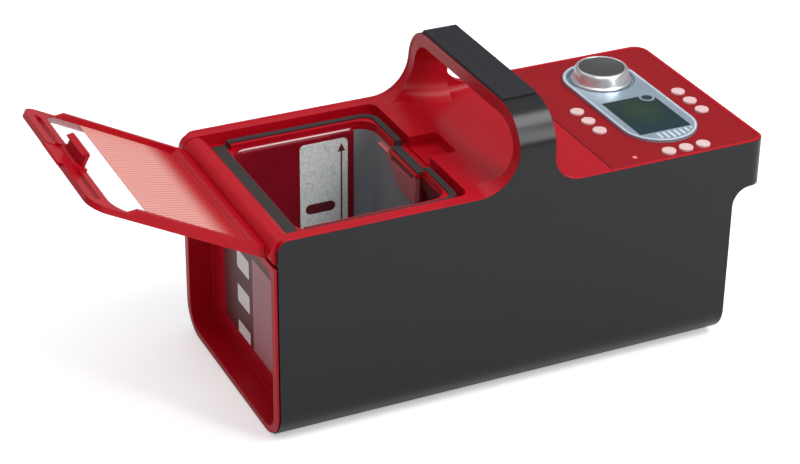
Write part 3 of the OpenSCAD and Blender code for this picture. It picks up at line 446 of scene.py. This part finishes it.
def intake_cover(paint):
    """Plate over the pump's intake: an outline in Y and Z with a slanted far edge and a notch for
    the latch's hook, drawn out along X, its last ring drawn in towards the middle."""
    low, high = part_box("intake_filter")
    chamfer = mm(0.6)
    outline = np.array([
        (46, 160.3), (40, 160.3), (24, 160.3), (20.2, 160.3), (19.4, 156.4), (-19.4, 156.4),
        (-20.2, 160.3), (-23.5, 160.3), (-23.8, 140), (-22, 138), (-4, 137.4), (6, 139.6),
        (12, 143.4), (22, 152.6), (33, 158.8)]) / 1000
    centre = outline.mean(0)
    inward = (centre - outline) / np.linalg.norm(centre - outline, axis=1)[:, None]
    rings = [np.column_stack([np.full(len(outline), depth), outline + inward * shrink])
             for depth, shrink in ((high.x, 0.0), (low.x + chamfer, 0.0), (low.x, chamfer))]
    cover = surface("intake_cover", np.array(rings), paint, wrap_v=True, caps=True)
    soften = cover.modifiers.new("round edges", "BEVEL")
    soften.width, soften.segments, soften.limit_method = mm(0.5), 2, "ANGLE"
    return cover


def lip_spines():
    """Centre lines of the two red strips over the sleeve's upper edge, each with its outward and
    upward directions. On the deck they run level. They rise along the handle's sweeping arcs, and
    the first follows its round shoulders over the top."""
    half, deck, top = mm(97.5), mm(174), mm(235)
    shoulder, step = mm(33), mm(3)
    hinge_face, hinge_sweep = mm(-11), mm(33)
    console_face, console_sweep, console_end = mm(19), mm(23), mm(197.5)
    inset = mm(1.75)

    def outline(z, side):
        """Half width at a height, and the outward direction, round the handle's shoulder."""
        sine = np.clip((z - (top - shoulder)) / shoulder, 0, 1)
        cosine = np.sqrt(1 - sine ** 2)
        out = np.stack([0 * z, side * cosine, sine], -1)
        return side * (half - shoulder + shoulder * cosine), out

    def rise(side, face, radius, way, z_end):
        """From the deck up the arc whose centre is one radius off the handle's face, and on up
        the face: x = face + way * radius * (1 - sqrt(1 - lean^2))."""
        angle = np.radians(np.linspace(0, 90, 14))
        z = np.concatenate([deck + radius * (1 - np.cos(angle)),
                            np.arange(deck + radius + step, z_end, step)])
        lean = np.clip((deck + radius - z) / radius, 0, 1)
        x = face + way * radius * (1 - np.sqrt(1 - lean ** 2))
        y, out = outline(z, side)
        up = np.stack([way * np.sqrt(1 - lean ** 2), 0 * z, lean], -1)
        return np.stack([x, y, z], -1), out, up

    def level(points, out):
        points = np.array(points, float)
        return points, np.array(out, float), np.tile([0.0, 0, 1], (len(points), 1))

    def flip(part):
        return tuple(np.array(a)[::-1] for a in part)

    hinge_end = []
    ear = mm(8.3)
    for side in (-1, 1):
        turn = np.radians(np.linspace(170, 90, 9))
        x, z = mm(-196.7) + ear * np.cos(turn), deck - ear + ear * np.sin(turn)
        start = (np.stack([x, 0 * x + side * half, z], -1), np.tile([0.0, side, 0], (9, 1)),
                 np.stack([np.cos(turn), 0 * turn, np.sin(turn)], -1))
        flat = level([(v, side * half, deck) for v in np.linspace(mm(-190), mm(-50), 12)],
                     [(0, side, 0)] * 12)
        climb = rise(side, hinge_face, hinge_sweep, -1, top - mm(0.1))
        hinge_end.append([start, flat, climb])
    y = np.linspace(-(half - shoulder), half - shoulder, 16)
    bridge = (np.stack([0 * y + hinge_face, y, 0 * y + top], -1), np.tile([0.0, 0, 1], (16, 1)),
              np.tile([-1.0, 0, 0], (16, 1)))
    near, far = hinge_end
    first = near + [bridge] + [flip(part) for part in reversed(far)]

    corner, end = mm(12), mm(207.5)
    turn = np.radians(np.linspace(0, 90, 9))
    near_corner = level(
        np.stack([end - corner + corner * np.sin(turn),
                  -half + corner - corner * np.cos(turn), 0 * turn + deck], -1),
        np.stack([np.sin(turn), -np.cos(turn), 0 * turn], -1))
    far_corner = tuple(a * np.array([1, -1, 1]) for a in flip(near_corner))
    runs = [level([(v, side * half, deck) for v in np.linspace(mm(48), mm(190), 12)],
                  [(0, side, 0)] * 12) for side in (-1, 1)]
    second = [flip(rise(-1, console_face, console_sweep, 1, console_end)), runs[0], near_corner,
              far_corner, flip(runs[1]), rise(1, console_face, console_sweep, 1, console_end)]
    for parts in (first, second):
        spine, out, up = (np.concatenate(arrays) for arrays in zip(*parts))
        yield spine - out * inset, out, up


def crackle_finish():
    """Pale panel with a network of thin grey cracks, an upward arrow and a dark rounded bar."""
    paint = Paint("pale crackle panel", linear(236, 240, 237), 0.42)
    x, y, z = paint.axes()
    flat = paint.vector(x, z, 0.0)
    wander = paint.noise(0.006, 2, at=flat)
    bent = paint.vector(x + 0.0016 * wander, z + 0.0016 * (1 - wander), 0.0)
    cell = paint.node("ShaderNodeTexVoronoi", {"feature": "DISTANCE_TO_EDGE"},
                      {"Vector": bent, "Scale": 210.0})
    crack = cell.ramp(0.012, 0.05, 1.0, 0.0)
    tone = paint.noise(0.02, 2, at=flat)
    base = paint.mix(tone, linear(232, 238, 234), linear(243, 246, 243))
    base = paint.mix(crack * 0.7, base, linear(186, 197, 191))
    low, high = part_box("fill_panel")
    bar_z, bar_x = low.z + 0.0255, low.x + 0.0175
    bar = ((abs(x - bar_x) - 0.0085).max(0.0) ** 2 + (z - bar_z) ** 2) ** 0.5
    base = paint.mix(bar.ramp(0.0042, 0.0047, 1.0, 0.0), base, linear(96, 22, 30))
    line_x = high.x - 0.0055
    line = (abs(x - line_x) < 0.0007) * (z < high.z - 0.010)
    head = (abs(x - line_x) < (high.z - 0.0045 - z) * 0.5) * (z > high.z - 0.0115)
    base = paint.mix(line.max(head), base, linear(105, 20, 30))
    paint.set("Base Color", base)
    paint.set("Normal", paint.bump(cell.ramp(0.0, 0.1), 0.00004))
    return paint


def label_finish():
    """Dark red printed film on the tank's wall, with a pale line along its top."""
    paint = Paint("dark red film", linear(122, 2, 22), 0.3)
    x, y, z = paint.axes()
    low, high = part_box("reservoir_label")
    tone = paint.noise(0.04, 2)
    base = paint.mix(tone, linear(128, 2, 22), linear(148, 4, 30))
    line = (abs(z - (high.z + 0.0024)) < 0.0005) * (x > low.x - 0.006) * (x < high.x - 0.003)
    base = paint.mix(line, base, linear(236, 190, 192))
    paint.set("Base Color", base)
    paint.set("Roughness", 0.26 + 0.1 * tone)
    return paint


def end_label_finish():
    """Dark red film on the end wall, with three blank pale boxes and a blank rose column."""
    paint = Paint("end wall film", linear(96, 0, 12), 0.3)
    x, y, z = paint.axes()
    tone = paint.noise(0.03, 2)
    base = paint.mix(tone, linear(80, 0, 8), linear(94, 2, 12))

    def box(y0, y1, z0, z1, corner=0.002):
        """1 inside a rectangle with round corners."""
        dy = (abs(y - (y0 + y1) / 2) - ((y1 - y0) / 2 - corner)).max(0.0)
        dz = (abs(z - (z0 + z1) / 2) - ((z1 - z0) / 2 - corner)).max(0.0)
        return ((dy ** 2 + dz ** 2) ** 0.5).ramp(0.0018, 0.0022, 1.0, 0.0)

    base = paint.mix(box(-0.044, -0.001, 0.022, 0.108) * 0.8, base, linear(196, 132, 138))
    for z0, z1 in ((0.085, 0.101), (0.054, 0.070), (0.021, 0.037)):
        base = paint.mix(box(0.006, 0.031, z0, z1), base, linear(244, 238, 236))
    paint.set("Base Color", base)
    paint.set("Roughness", 0.26 + 0.1 * tone)
    return paint


def lid_rows(paint, look):
    """Distances along the open lid from the hinge axis, across it and above its plane, and the
    place in each cell of offset rows, from -0.5 to 0.5 both ways."""
    x, y, z = paint.axes()
    along = (x - HINGE.x) * math.cos(LID_OPEN) + (z - HINGE.z) * math.sin(LID_OPEN)
    height = (z - HINGE.z) * math.cos(LID_OPEN) - (x - HINGE.x) * math.sin(LID_OPEN)
    row = along / look.dot_pitch
    across = y / (look.dot_pitch * CELL_WIDTH) + 0.5 * (row.floor() % 2.0)
    return along, y, height, row % 1.0 - 0.5, across % 1.0 - 0.5


def dash_mask(u, v):
    """1 on a dash in the middle of each cell."""
    return (abs(v) < 0.16) * (abs(u) < 0.38)


def lid_print_finish(look):
    """Pink film with offset rows of small dots, which turns to red with darker dashes near the
    hinge."""
    paint = Paint("dotted film", linear(232, 170, 162), 0.45)
    along, y, height, u, v = lid_rows(paint, look)
    dot = ((u ** 2 + (v * CELL_WIDTH) ** 2) ** 0.5).ramp(0.24, 0.34, 1.0, 0.0)
    pink = paint.mix(dot, linear(238, 166, 156), linear(184, 98, 94))
    solid = paint.mix(dash_mask(u, v), linear(196, 8, 24), linear(120, 2, 14))
    fade = along.ramp(0.026, 0.052, 1.0, 0.0)
    paint.set("Base Color", paint.mix(fade, pink, solid))
    return paint


def lid_red_finish(look):
    """The deck's red, with rows of darker dashes on the slope between barrel and window."""
    paint = deck_finish(look)
    paint.material.name = "red lid moulding"
    along, y, height, u, v = lid_rows(paint, look)
    field = (along > 0.0125) * (along < 0.0235) * (height < 0.0067) * (abs(y) < 0.0811)
    base = paint.mix(paint.noise(0.05, 3), *tones(look.deck_colour, 0.05))
    paint.set("Base Color", paint.mix(dash_mask(u, v) * field, base, linear(112, 2, 12)))
    return paint


def clear_finish():
    """Clear plastic sheet."""
    paint = Paint("clear sheet", (0.72, 0.74, 0.76), 0.06, IOR=1.49)
    paint.set("Alpha", 0.22)
    return paint


def grip_finish(look):
    """Soft black-grey rubber with a sandy grain."""
    return moulded("grip rubber", look.grip_colour, 0.72, grain=0.0005, depth=0.00005, drift=0.08)


def spun_finish(name, colour, centre, roughness):
    """Turned metal: rings about the axis carry a fine relief and shade the tone and the gloss."""
    paint = Paint(name, colour, roughness, 1.0)
    x, y, z = paint.axes()
    dx, dy = x - centre[0], y - centre[1]
    radius = (dx ** 2 + dy ** 2) ** 0.5
    rings = paint.noise(0.00025, 1, at=paint.vector(radius, radius * 0.0, z))
    tone = paint.noise(0.004, 2, at=paint.vector(radius, radius * 0.0, z * 0.3))
    paint.set("Roughness", roughness - 0.06 + 0.12 * rings)
    paint.set("Base Color", paint.mix(tone, *tones(colour, 0.1)))
    paint.set("Normal", paint.bump(rings, 0.00002))
    return paint


def glass_finish():
    """Dark display window: green to blue across it under a gloss sheet, with a paler patch painted
    in its middle as glow.
    """
    paint = Paint("display glass", linear(34, 56, 54), 0.16, Specular_IOR_Level=0.3)
    x, y, z = paint.axes()
    low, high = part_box("display_window")
    u = (x - low.x) / (high.x - low.x)
    v = (y - low.y) / (high.y - low.y)
    # painted glow: a paler green patch in the middle of the window, light put into the colour
    glow = (((u - 0.5) ** 2 + (v - 0.62) ** 2) ** 0.5).ramp(0.0, 0.55, 1.0, 0.0)
    base = paint.mix(v.ramp(0.0, 1.0), linear(22, 50, 58), linear(28, 46, 44))
    base = paint.mix(glow * 0.7, base, linear(42, 66, 44))
    frame = (abs(u - 0.5) > 0.475).max(abs(v - 0.5) > 0.482)
    paint.set("Base Color", paint.mix(frame * 0.6, base, linear(20, 34, 36)))
    return paint


def silver_finish():
    """Satin silver paint with a blue cast and a fine metallic grain."""
    paint = Paint("silver paint", linear(160, 178, 194), 0.34, 0.55)
    fleck = paint.noise(0.0003, 1)
    tone = paint.noise(0.03, 2)
    base = paint.mix(tone, linear(148, 168, 186), linear(176, 194, 208))
    paint.set("Base Color", paint.mix(fleck * 0.25, base, linear(206, 218, 228)))
    paint.set("Roughness", 0.3 + 0.1 * fleck)
    paint.set("Normal", paint.bump(fleck, 0.000008))
    return paint


def button_finish():
    """Pale pink button, a little cloudy."""
    paint = Paint("pale button", linear(226, 190, 188), 0.36)
    tone = paint.noise(0.003, 2)
    paint.set("Base Color", paint.mix(tone, linear(220, 182, 180), linear(236, 204, 202)))
    paint.set("Roughness", 0.32 + 0.1 * tone)
    return paint


def metal_finish(name, colour, roughness):
    """Plain machined metal with a fine brushed grain."""
    paint = Paint(name, colour, roughness, 1.0)
    grain = paint.noise(0.0006, 2, stretch=(0.1, 1.0, 1.0))
    paint.set("Roughness", roughness - 0.05 + 0.12 * grain)
    paint.set("Normal", paint.bump(grain, 0.00001))
    return paint


def board_finish():
    """Green circuit board with a cloudy tone."""
    paint = Paint("green board", (0.016, 0.11, 0.045), 0.42)
    tone = paint.noise(0.01, 2)
    paint.set("Base Color", paint.mix(tone, (0.012, 0.09, 0.036), (0.03, 0.16, 0.07)))
    return paint


# ---- sizes and colours that a user may change ----


class TherapyLook(bpy.types.PropertyGroup):
    """Sizes and colours of the finish."""
    edge_round: bpy.props.FloatProperty(
        name="Edge rounding", description="Radius on the moulded edges",
        default=0.0007, min=0.0, max=0.0015, unit="LENGTH")
    dot_pitch: bpy.props.FloatProperty(
        name="Dot pitch", description="Spacing of the dots on the lid's film",
        default=0.0031, min=0.001, max=0.006, unit="LENGTH")
    ridge_pitch: bpy.props.FloatProperty(
        name="Grip ridges", description="Spacing of the ridges on the grip",
        default=0.0048, min=0.002, max=0.01, unit="LENGTH")
    shell_colour: bpy.props.FloatVectorProperty(
        name="Shell", description="Colour of the long panels",
        default=linear(13, 14, 17), size=3, subtype="COLOR")
    deck_colour: bpy.props.FloatVectorProperty(
        name="Deck", description="Colour of the red moulding",
        default=linear(180, 8, 28), size=3, subtype="COLOR")
    overlay_colour: bpy.props.FloatVectorProperty(
        name="Console", description="Colour of the matte console sheet",
        default=linear(146, 10, 22), size=3, subtype="COLOR")
    grip_colour: bpy.props.FloatVectorProperty(
        name="Grip", description="Colour of the rubber grip",
        default=linear(40, 40, 45), size=3, subtype="COLOR")
    key_power: bpy.props.FloatProperty(
        name="Key light", description="Power of the overhead softbox",
        default=22.0, min=0.0, unit="POWER")


def look():
    """The sizes and colours set for this scene."""
    return bpy.context.scene.therapy_look


class Piece:
    """Shared by the operators that make pieces."""
    bl_options = {"REGISTER", "UNDO"}


class THERAPY_OT_stage(Piece, bpy.types.Operator):
    """Pale floor, soft light and the camera at the photograph's angle."""
    bl_idname = "therapy.stage"
    bl_label = "Stage"

    def execute(self, context):
        scene = context.scene
        scene.view_settings.view_transform = "Standard"
        mesh = bpy.data.meshes.new("floor")
        reach = 12.0
        corners = [(-reach, -reach, 0), (reach, -reach, 0), (reach, reach, 0), (-reach, reach, 0)]
        mesh.from_pydata(corners, [], [(0, 1, 2, 3)])
        floor = bpy.data.objects.new("floor", mesh)
        paint = Paint("studio floor", (0.9, 0.9, 0.9), 0.9, Specular_IOR_Level=0.0)
        nodes, links = paint.tree.nodes, paint.tree.links
        seen = Value(paint, nodes.new("ShaderNodeLightPath").outputs["Is Camera Ray"])
        # the camera alone sees a glow on the floor, which takes it to white
        glow = nodes.new("ShaderNodeEmission")
        glow.inputs["Color"].default_value = (1, 1, 1, 1)
        paint.feed(glow.inputs["Strength"], seen * 0.42)
        both = nodes.new("ShaderNodeAddShader")
        links.new(paint.shader.outputs[0], both.inputs[0])
        links.new(glow.outputs[0], both.inputs[1])
        links.new(both.outputs[0], nodes["Material Output"].inputs["Surface"])
        mesh.materials.append(paint.material)
        scene.collection.objects.link(floor)

        # the room is bright overhead and dimmer round the horizon
        world = bpy.data.worlds.new("studio")
        world.use_nodes = True
        tree = world.node_tree
        back_light = tree.nodes["Background"]
        back_light.inputs["Color"].default_value = (0.97, 0.98, 1.0, 1.0)
        way = tree.nodes.new("ShaderNodeTexCoord")
        split = tree.nodes.new("ShaderNodeSeparateXYZ")
        rise = tree.nodes.new("ShaderNodeMapRange")
        rise.interpolation_type = "SMOOTHSTEP"
        for socket, value in zip(rise.inputs[1:5], (0.45, 0.95, 0.28, 0.9)):
            socket.default_value = value
        tree.links.new(way.outputs["Generated"], split.inputs[0])
        tree.links.new(split.outputs["Z"], rise.inputs["Value"])
        tree.links.new(rise.outputs[0], back_light.inputs["Strength"])
        scene.world = world

        def softbox(name, place, aim, size, power):
            lamp = bpy.data.lights.new(name, "AREA")
            lamp.shape = "RECTANGLE"
            lamp.size, lamp.size_y = size
            lamp.energy = power
            obj = bpy.data.objects.new(name, lamp)
            turn = (Vector(aim) - Vector(place)).to_track_quat("-Z", "Y")
            obj.matrix_world = Matrix.Translation(place) @ turn.to_matrix().to_4x4()
            scene.collection.objects.link(obj)

        # each: place, point it faces, width and height, watts
        softbox("key softbox", (0.85, -0.9, 1.95), (0, 0, 0.1), (1.3, 0.9), look().key_power)
        softbox("far softbox", (-0.2, 1.3, 1.9), (0, 0, 0.1), (1.2, 0.6), 5.0)
        softbox("strip softbox", (0.85, -1.75, 1.05), (0, 0, 0.2), (0.2, 1.3), 9.0)
        softbox("left softbox", (-0.75, -1.1, 1.9), (-0.1, 0, 0.1), (0.8, 0.8), 4.0)

        azimuth, elevation, roll = (
            math.radians(v) for v in (PHOTO_AZIMUTH, PHOTO_ELEVATION, PHOTO_ROLL))
        back = Vector((math.sin(azimuth) * math.cos(elevation),
                       -math.cos(azimuth) * math.cos(elevation), math.sin(elevation)))
        right = (-back).cross(Vector((0, 0, 1))).normalized()
        up = right.cross(-back)
        side = right * math.cos(roll) + up * math.sin(roll)
        above = up * math.cos(roll) - right * math.sin(roll)
        camera = bpy.data.cameras.new("photo camera")
        camera.sensor_width = SENSOR_MM
        camera.lens = PHOTO_FOCAL * SENSOR_MM / PHOTO_WIDTH
        camera.clip_start = 0.02
        obj = bpy.data.objects.new("photo camera", camera)
        rows = [(side[i], above[i], back[i], PHOTO_PLACE[i]) for i in range(3)]
        obj.matrix_world = Matrix((*rows, (0, 0, 0, 1)))
        scene.collection.objects.link(obj)
        scene.camera = obj
        return {"FINISHED"}


class THERAPY_OT_shell(Piece, bpy.types.Operator):
    """Charcoal sleeve, the red end bezel with its film, the feet and the base's screws."""
    bl_idname = "therapy.shell"
    bl_label = "Shell"

    def execute(self, context):
        edge = look().edge_round
        dressed("outer_sleeve", "shell", shell_finish(look()), "charcoal", edge, 3)
        dressed("end_bezel", "end_rim", deck_finish(look()), "panel_red", edge, 3)
        dressed("end_label", "end_film", end_label_finish(), "label_bare", 0.0)
        rubber = moulded("foot rubber", (0.015, 0.015, 0.016), 0.8, grain=0.0008, depth=0.00008)
        dressed("foot_pads", "feet", rubber, "foot_black", 0.0003)
        steel = metal_finish("screw steel", (0.5, 0.5, 0.52), 0.3)
        dressed("base_screws", "bottom_screws", steel, "steel", 0.0)
        return {"FINISHED"}


class THERAPY_OT_deck(Piece, bpy.types.Operator):
    """Red deck with the lid recess, the scooped hollow and the lining of the handle."""
    bl_idname = "therapy.deck"
    bl_label = "Deck"

    def execute(self, context):
        red = deck_finish(look())
        dressed("top_deck", "deck", red, "panel_red", look().edge_round, 3)
        for name, (spine, out, up) in zip(("deck_lip", "console_lip"), lip_spines()):
            lip = ribbon(name, spine, out, up, mm(1.35), mm(0.35), red)
            settle(lip, "machine_body", "panel_red")
        return {"FINISHED"}


class THERAPY_OT_reservoir(Piece, bpy.types.Operator):
    """Tank, its film and fill panel, the gasket and the intake's cover."""
    bl_idname = "therapy.reservoir"
    bl_label = "Reservoir"

    def execute(self, context):
        tank = tank_finish()
        dressed("reservoir_tub", "tank", tank, "tub_grey", 0.0005)
        settle(tank_film(), "machine_body", "dark_red", "reservoir_label")
        dressed("fill_panel", "fill_chart", crackle_finish(), "pale_panel", 0.0)
        # the rubber's own dark grey, with a faint red cast that is painted reflection of the red
        # walls round the gasket
        seal = moulded("seal rubber", linear(54, 48, 48), 0.6, grain=0.0005, depth=0.00004)
        dressed("lid_gasket", "gasket", seal, "seal_grey", 0.0004, 3)
        pink = moulded("pink cover", linear(186, 96, 98), 0.34, grain=0.001, depth=0.00002,
                       drift=0.12)
        settle(intake_cover(pink), "machine_body", "filter_pink", "intake_filter")
        return {"FINISHED"}


class THERAPY_OT_lid(Piece, bpy.types.Operator):
    """Lid frame, clear window, dotted film, latch and pins."""
    bl_idname = "therapy.lid"
    bl_label = "Lid"

    def execute(self, context):
        red = lid_red_finish(look())
        dressed("lid_frame", "lid_rim", red, "panel_red", look().edge_round, 3)
        dressed("lid_latch", "latch_hook", red, "panel_red", 0.0004)
        dressed("lid_window", "lid_sheet", clear_finish(), "clear", 0.0)
        dressed("lid_print", "lid_film", lid_print_finish(look()), "film", 0.0)
        steel = metal_finish("pin steel", (0.55, 0.55, 0.57), 0.28)
        dressed("latch_pin", "latch_axle", steel, "steel", 0.0)
        dressed("hinge_pins", "hinge_axles", steel, "steel", 0.0)
        return {"FINISHED"}


class THERAPY_OT_grip(Piece, bpy.types.Operator):
    """Rubber pad on the handle with wavy ridges."""
    bl_idname = "therapy.grip"
    bl_label = "Grip"

    def execute(self, context):
        low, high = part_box("handle_grip")
        pitch = look().ridge_pitch
        half, tall, length = (high.x - low.x) / 2, high.z - low.z, high.y - low.y
        rim, bare, edge_fade, ridge_depth, wander = 0.0015, 0.0022, 0.002, 0.00034, 0.0135
        # across the pad: a box section with round upper edges, points crowded at its corners
        section = rounded([(-half, 0), (-half, tall), (half, tall), (half, 0)], 0.0016, 5)
        middle = np.linspace(section[6], section[-7], 60)[1:-1]
        section = np.concatenate([section[:6], middle, section[-7:]])
        # along it: close steps at the ends, which are drawn down like the upper edges
        steps = np.array([0, 0.0003, 0.0008, rim])
        along = np.concatenate([steps, np.linspace(bare, length - bare, 300),
                                length - steps[::-1]])
        a, s = np.meshgrid(along, np.arange(len(section)), indexing="ij")
        x, z = section[:, 0][s], section[:, 1][s]
        ends = np.minimum(along, along[-1] - along)
        drop = np.clip(rim - ends, 0, None) ** 2 / rim * 0.9
        # ridge height = sine of a wave that bends across the pad, faded at the edges
        wave = np.sin(2 * np.pi * (a / pitch + 0.55 * np.sin(2 * np.pi * x / wander)))
        fade = (np.clip((half - bare - np.abs(x)) / edge_fade, 0, 1)
                * np.clip((ends[:, None] - 0.004) / edge_fade, 0, 1) * (z > tall - 1e-6))
        z = z - drop[:, None] * (z > rim) - ridge_depth * fade * (1 - wave)
        points = np.stack([(low.x + high.x) / 2 + x, low.y + a, low.z + z], -1)
        pad = surface("grip_pad", points, grip_finish(look()), wrap_v=True, caps=True, angle=40)
        settle(pad, "machine_body", "grip_rubber", "handle_grip")
        return {"FINISHED"}


class THERAPY_OT_console(Piece, bpy.types.Operator):
    """Matte sheet, silver bezel with its ribs, display, round window and small light."""
    bl_idname = "therapy.console"
    bl_label = "Console"

    def execute(self, context):
        dressed("console_overlay", "console_sheet", overlay_finish(look()), "overlay_red", 0.0002)
        silver = silver_finish()
        dressed("display_bezel", "bezel", silver, "silver", 0.0006, 3)
        low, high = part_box("display_bezel")
        centre, top = (low + high) / 2, high.z
        radius = (high.x - low.x) / 2
        flat = (high.y - low.y) / 2 - radius
        steps, bead_inset = 96, mm(1.5)
        turn = np.linspace(0, 2 * np.pi, steps, endpoint=False)
        out = np.stack([np.cos(turn), np.sin(turn), 0 * turn], -1)
        # a stadium: half circles moved apart by the straight sides
        apart = flat * np.sign(np.sin(turn + 1e-6))
        spine = np.stack([centre.x + (radius - bead_inset) * out[:, 0],
                          centre.y + apart + (radius - bead_inset) * out[:, 1],
                          0 * turn + top], -1)
        bright = moulded("bright silver", linear(206, 218, 228), 0.3, grain=0.0003,
                         depth=0.00001, gloss=0.5)
        upward = np.tile([0.0, 0, 1], (steps, 1))
        bead = ribbon("bezel_bead", spine, out, upward, mm(0.7), mm(0.3), bright, closed=True)
        settle(bead, "machine_body", "silver")
        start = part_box("display_window")[0].y - mm(2.6)
        for i, dx in enumerate(np.linspace(mm(-10), mm(20), 7)):
            end = centre.y - flat - math.sqrt((radius - mm(4)) ** 2 - dx ** 2)
            y = np.linspace(start, end, 5)
            spine = np.stack([centre.x + dx + 0 * y, y, top + 0 * y], -1)
            sideways, upward = (np.tile(way, (5, 1)) for way in ([1.0, 0, 0], [0.0, 0, 1]))
            rib = ribbon(f"bezel_rib_{i + 1}", spine, sideways, upward, mm(1.2), mm(0.4), bright)
            settle(rib, "machine_body", "silver")
        dressed("display_window", "display_sheet", glass_finish(), "display", 0.0002)
        dark = Paint("dark round window", linear(26, 34, 38), 0.08, Coat_Weight=0.5)
        tone = dark.noise(0.004, 1)
        dark.set("Base Color", dark.mix(tone, linear(20, 28, 32), linear(34, 44, 48)))
        dressed("sensor_window", "round_window", dark, "sensor", 0.0003)
        lamp = Paint("small light", linear(236, 120, 120), 0.3)
        tone = lamp.noise(0.002, 1)
        lamp.set("Base Color", lamp.mix(tone, linear(228, 104, 108), linear(246, 150, 148)))
        dressed("status_light", "light", lamp, "light", 0.0003)
        return {"FINISHED"}


class THERAPY_OT_dial(Piece, bpy.types.Operator):
    """Satin metal dial with its spun top."""
    bl_idname = "therapy.dial"
    bl_label = "Dial"

    def execute(self, context):
        centre = centre_of("dial_knob")
        chrome = spun_finish("polished dial", (0.93, 0.93, 0.95), centre, 0.34)
        dressed("dial_knob", "dial_body", chrome, "knob_white", 0.0006, 3, angle=20)
        spun = spun_finish("spun dial top", (0.2, 0.195, 0.2), centre, 0.36)
        dressed("dial_cap", "dial_top", spun, "cap_grey", 0.0)
        steel = metal_finish("shaft steel", (0.55, 0.55, 0.57), 0.3)
        dressed("dial_shaft", "dial_axle", steel, "steel", 0.0)
        return {"FINISHED"}


class THERAPY_OT_buttons(Piece, bpy.types.Operator):
    """Nine pale round buttons."""
    bl_idname = "therapy.buttons"
    bl_label = "Buttons"

    def execute(self, context):
        paint = button_finish()
        for node in sorted(n for n in NODES if n.startswith("button_")):
            dressed(node, node.replace("button", "key"), paint, "button", 0.0004, 3)
        return {"FINISHED"}


class THERAPY_OT_insides(Piece, bpy.types.Operator):
    """Pump, compressor, valves, boards, hoses and sockets."""
    bl_idname = "therapy.insides"
    bl_label = "Insides"

    def execute(self, context):
        black = moulded("black moulding", (0.02, 0.02, 0.022), 0.45)
        casing = metal_finish("motor casing", (0.3, 0.31, 0.33), 0.4)
        board = board_finish()
        hose = moulded("hose rubber", (0.02, 0.02, 0.021), 0.55)
        milky = moulded("milky tube", (0.6, 0.65, 0.68), 0.35)
        cream = moulded("cream moulding", (0.6, 0.58, 0.52), 0.5)
        for node, paint, slot in (
                ("display_module", black, "black"), ("dial_encoder", black, "black"),
                ("chassis_plate", black, "black"), ("switch_board", board, "board"),
                ("main_board", board, "board"), ("water_pump", casing, "unit_grey"),
                ("air_compressor", casing, "unit_grey"), ("valve_block", cream, "valve_cream"),
                ("suction_hose", hose, "hose_black"), ("pressure_hose", hose, "hose_black"),
                ("air_tube", milky, "air_clear")):
            NODES[node].data.materials.clear()
            NODES[node].data.materials.append(paint.material)
        dressed("hose_connector", "hose_sockets", black, "black", 0.0005)
        dressed("power_inlet", "power_socket", black, "black", 0.0003)
        return {"FINISHED"}


class THERAPY_PT_panel(bpy.types.Panel):
    """Lists the stage and the groups of pieces."""
    bl_label = "Therapy machine"
    bl_idname = "THERAPY_PT_panel"
    bl_space_type = "VIEW_3D"
    bl_region_type = "UI"
    bl_category = "Therapy"

    def draw(self, context):
        for name in TherapyLook.__annotations__:
            self.layout.prop(context.scene.therapy_look, name)
        for operator in OPERATORS:
            self.layout.operator(operator.bl_idname)


OPERATORS = (THERAPY_OT_stage, THERAPY_OT_shell, THERAPY_OT_deck, THERAPY_OT_reservoir,
             THERAPY_OT_lid, THERAPY_OT_grip, THERAPY_OT_console, THERAPY_OT_dial,
             THERAPY_OT_buttons, THERAPY_OT_insides)
CLASSES = (TherapyLook, *OPERATORS, THERAPY_PT_panel)


def register():
    for cls in CLASSES:
        bpy.utils.register_class(cls)
    bpy.types.Scene.therapy_look = bpy.props.PointerProperty(type=TherapyLook)


def unregister():
    del bpy.types.Scene.therapy_look
    for cls in reversed(CLASSES):
        bpy.utils.unregister_class(cls)


def main():
    """Registers the add-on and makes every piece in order."""
    register()
    for operator in OPERATORS:
        group, name = operator.bl_idname.split(".")
        getattr(getattr(bpy.ops, group), name)()


if __name__ == "__main__":
    main()
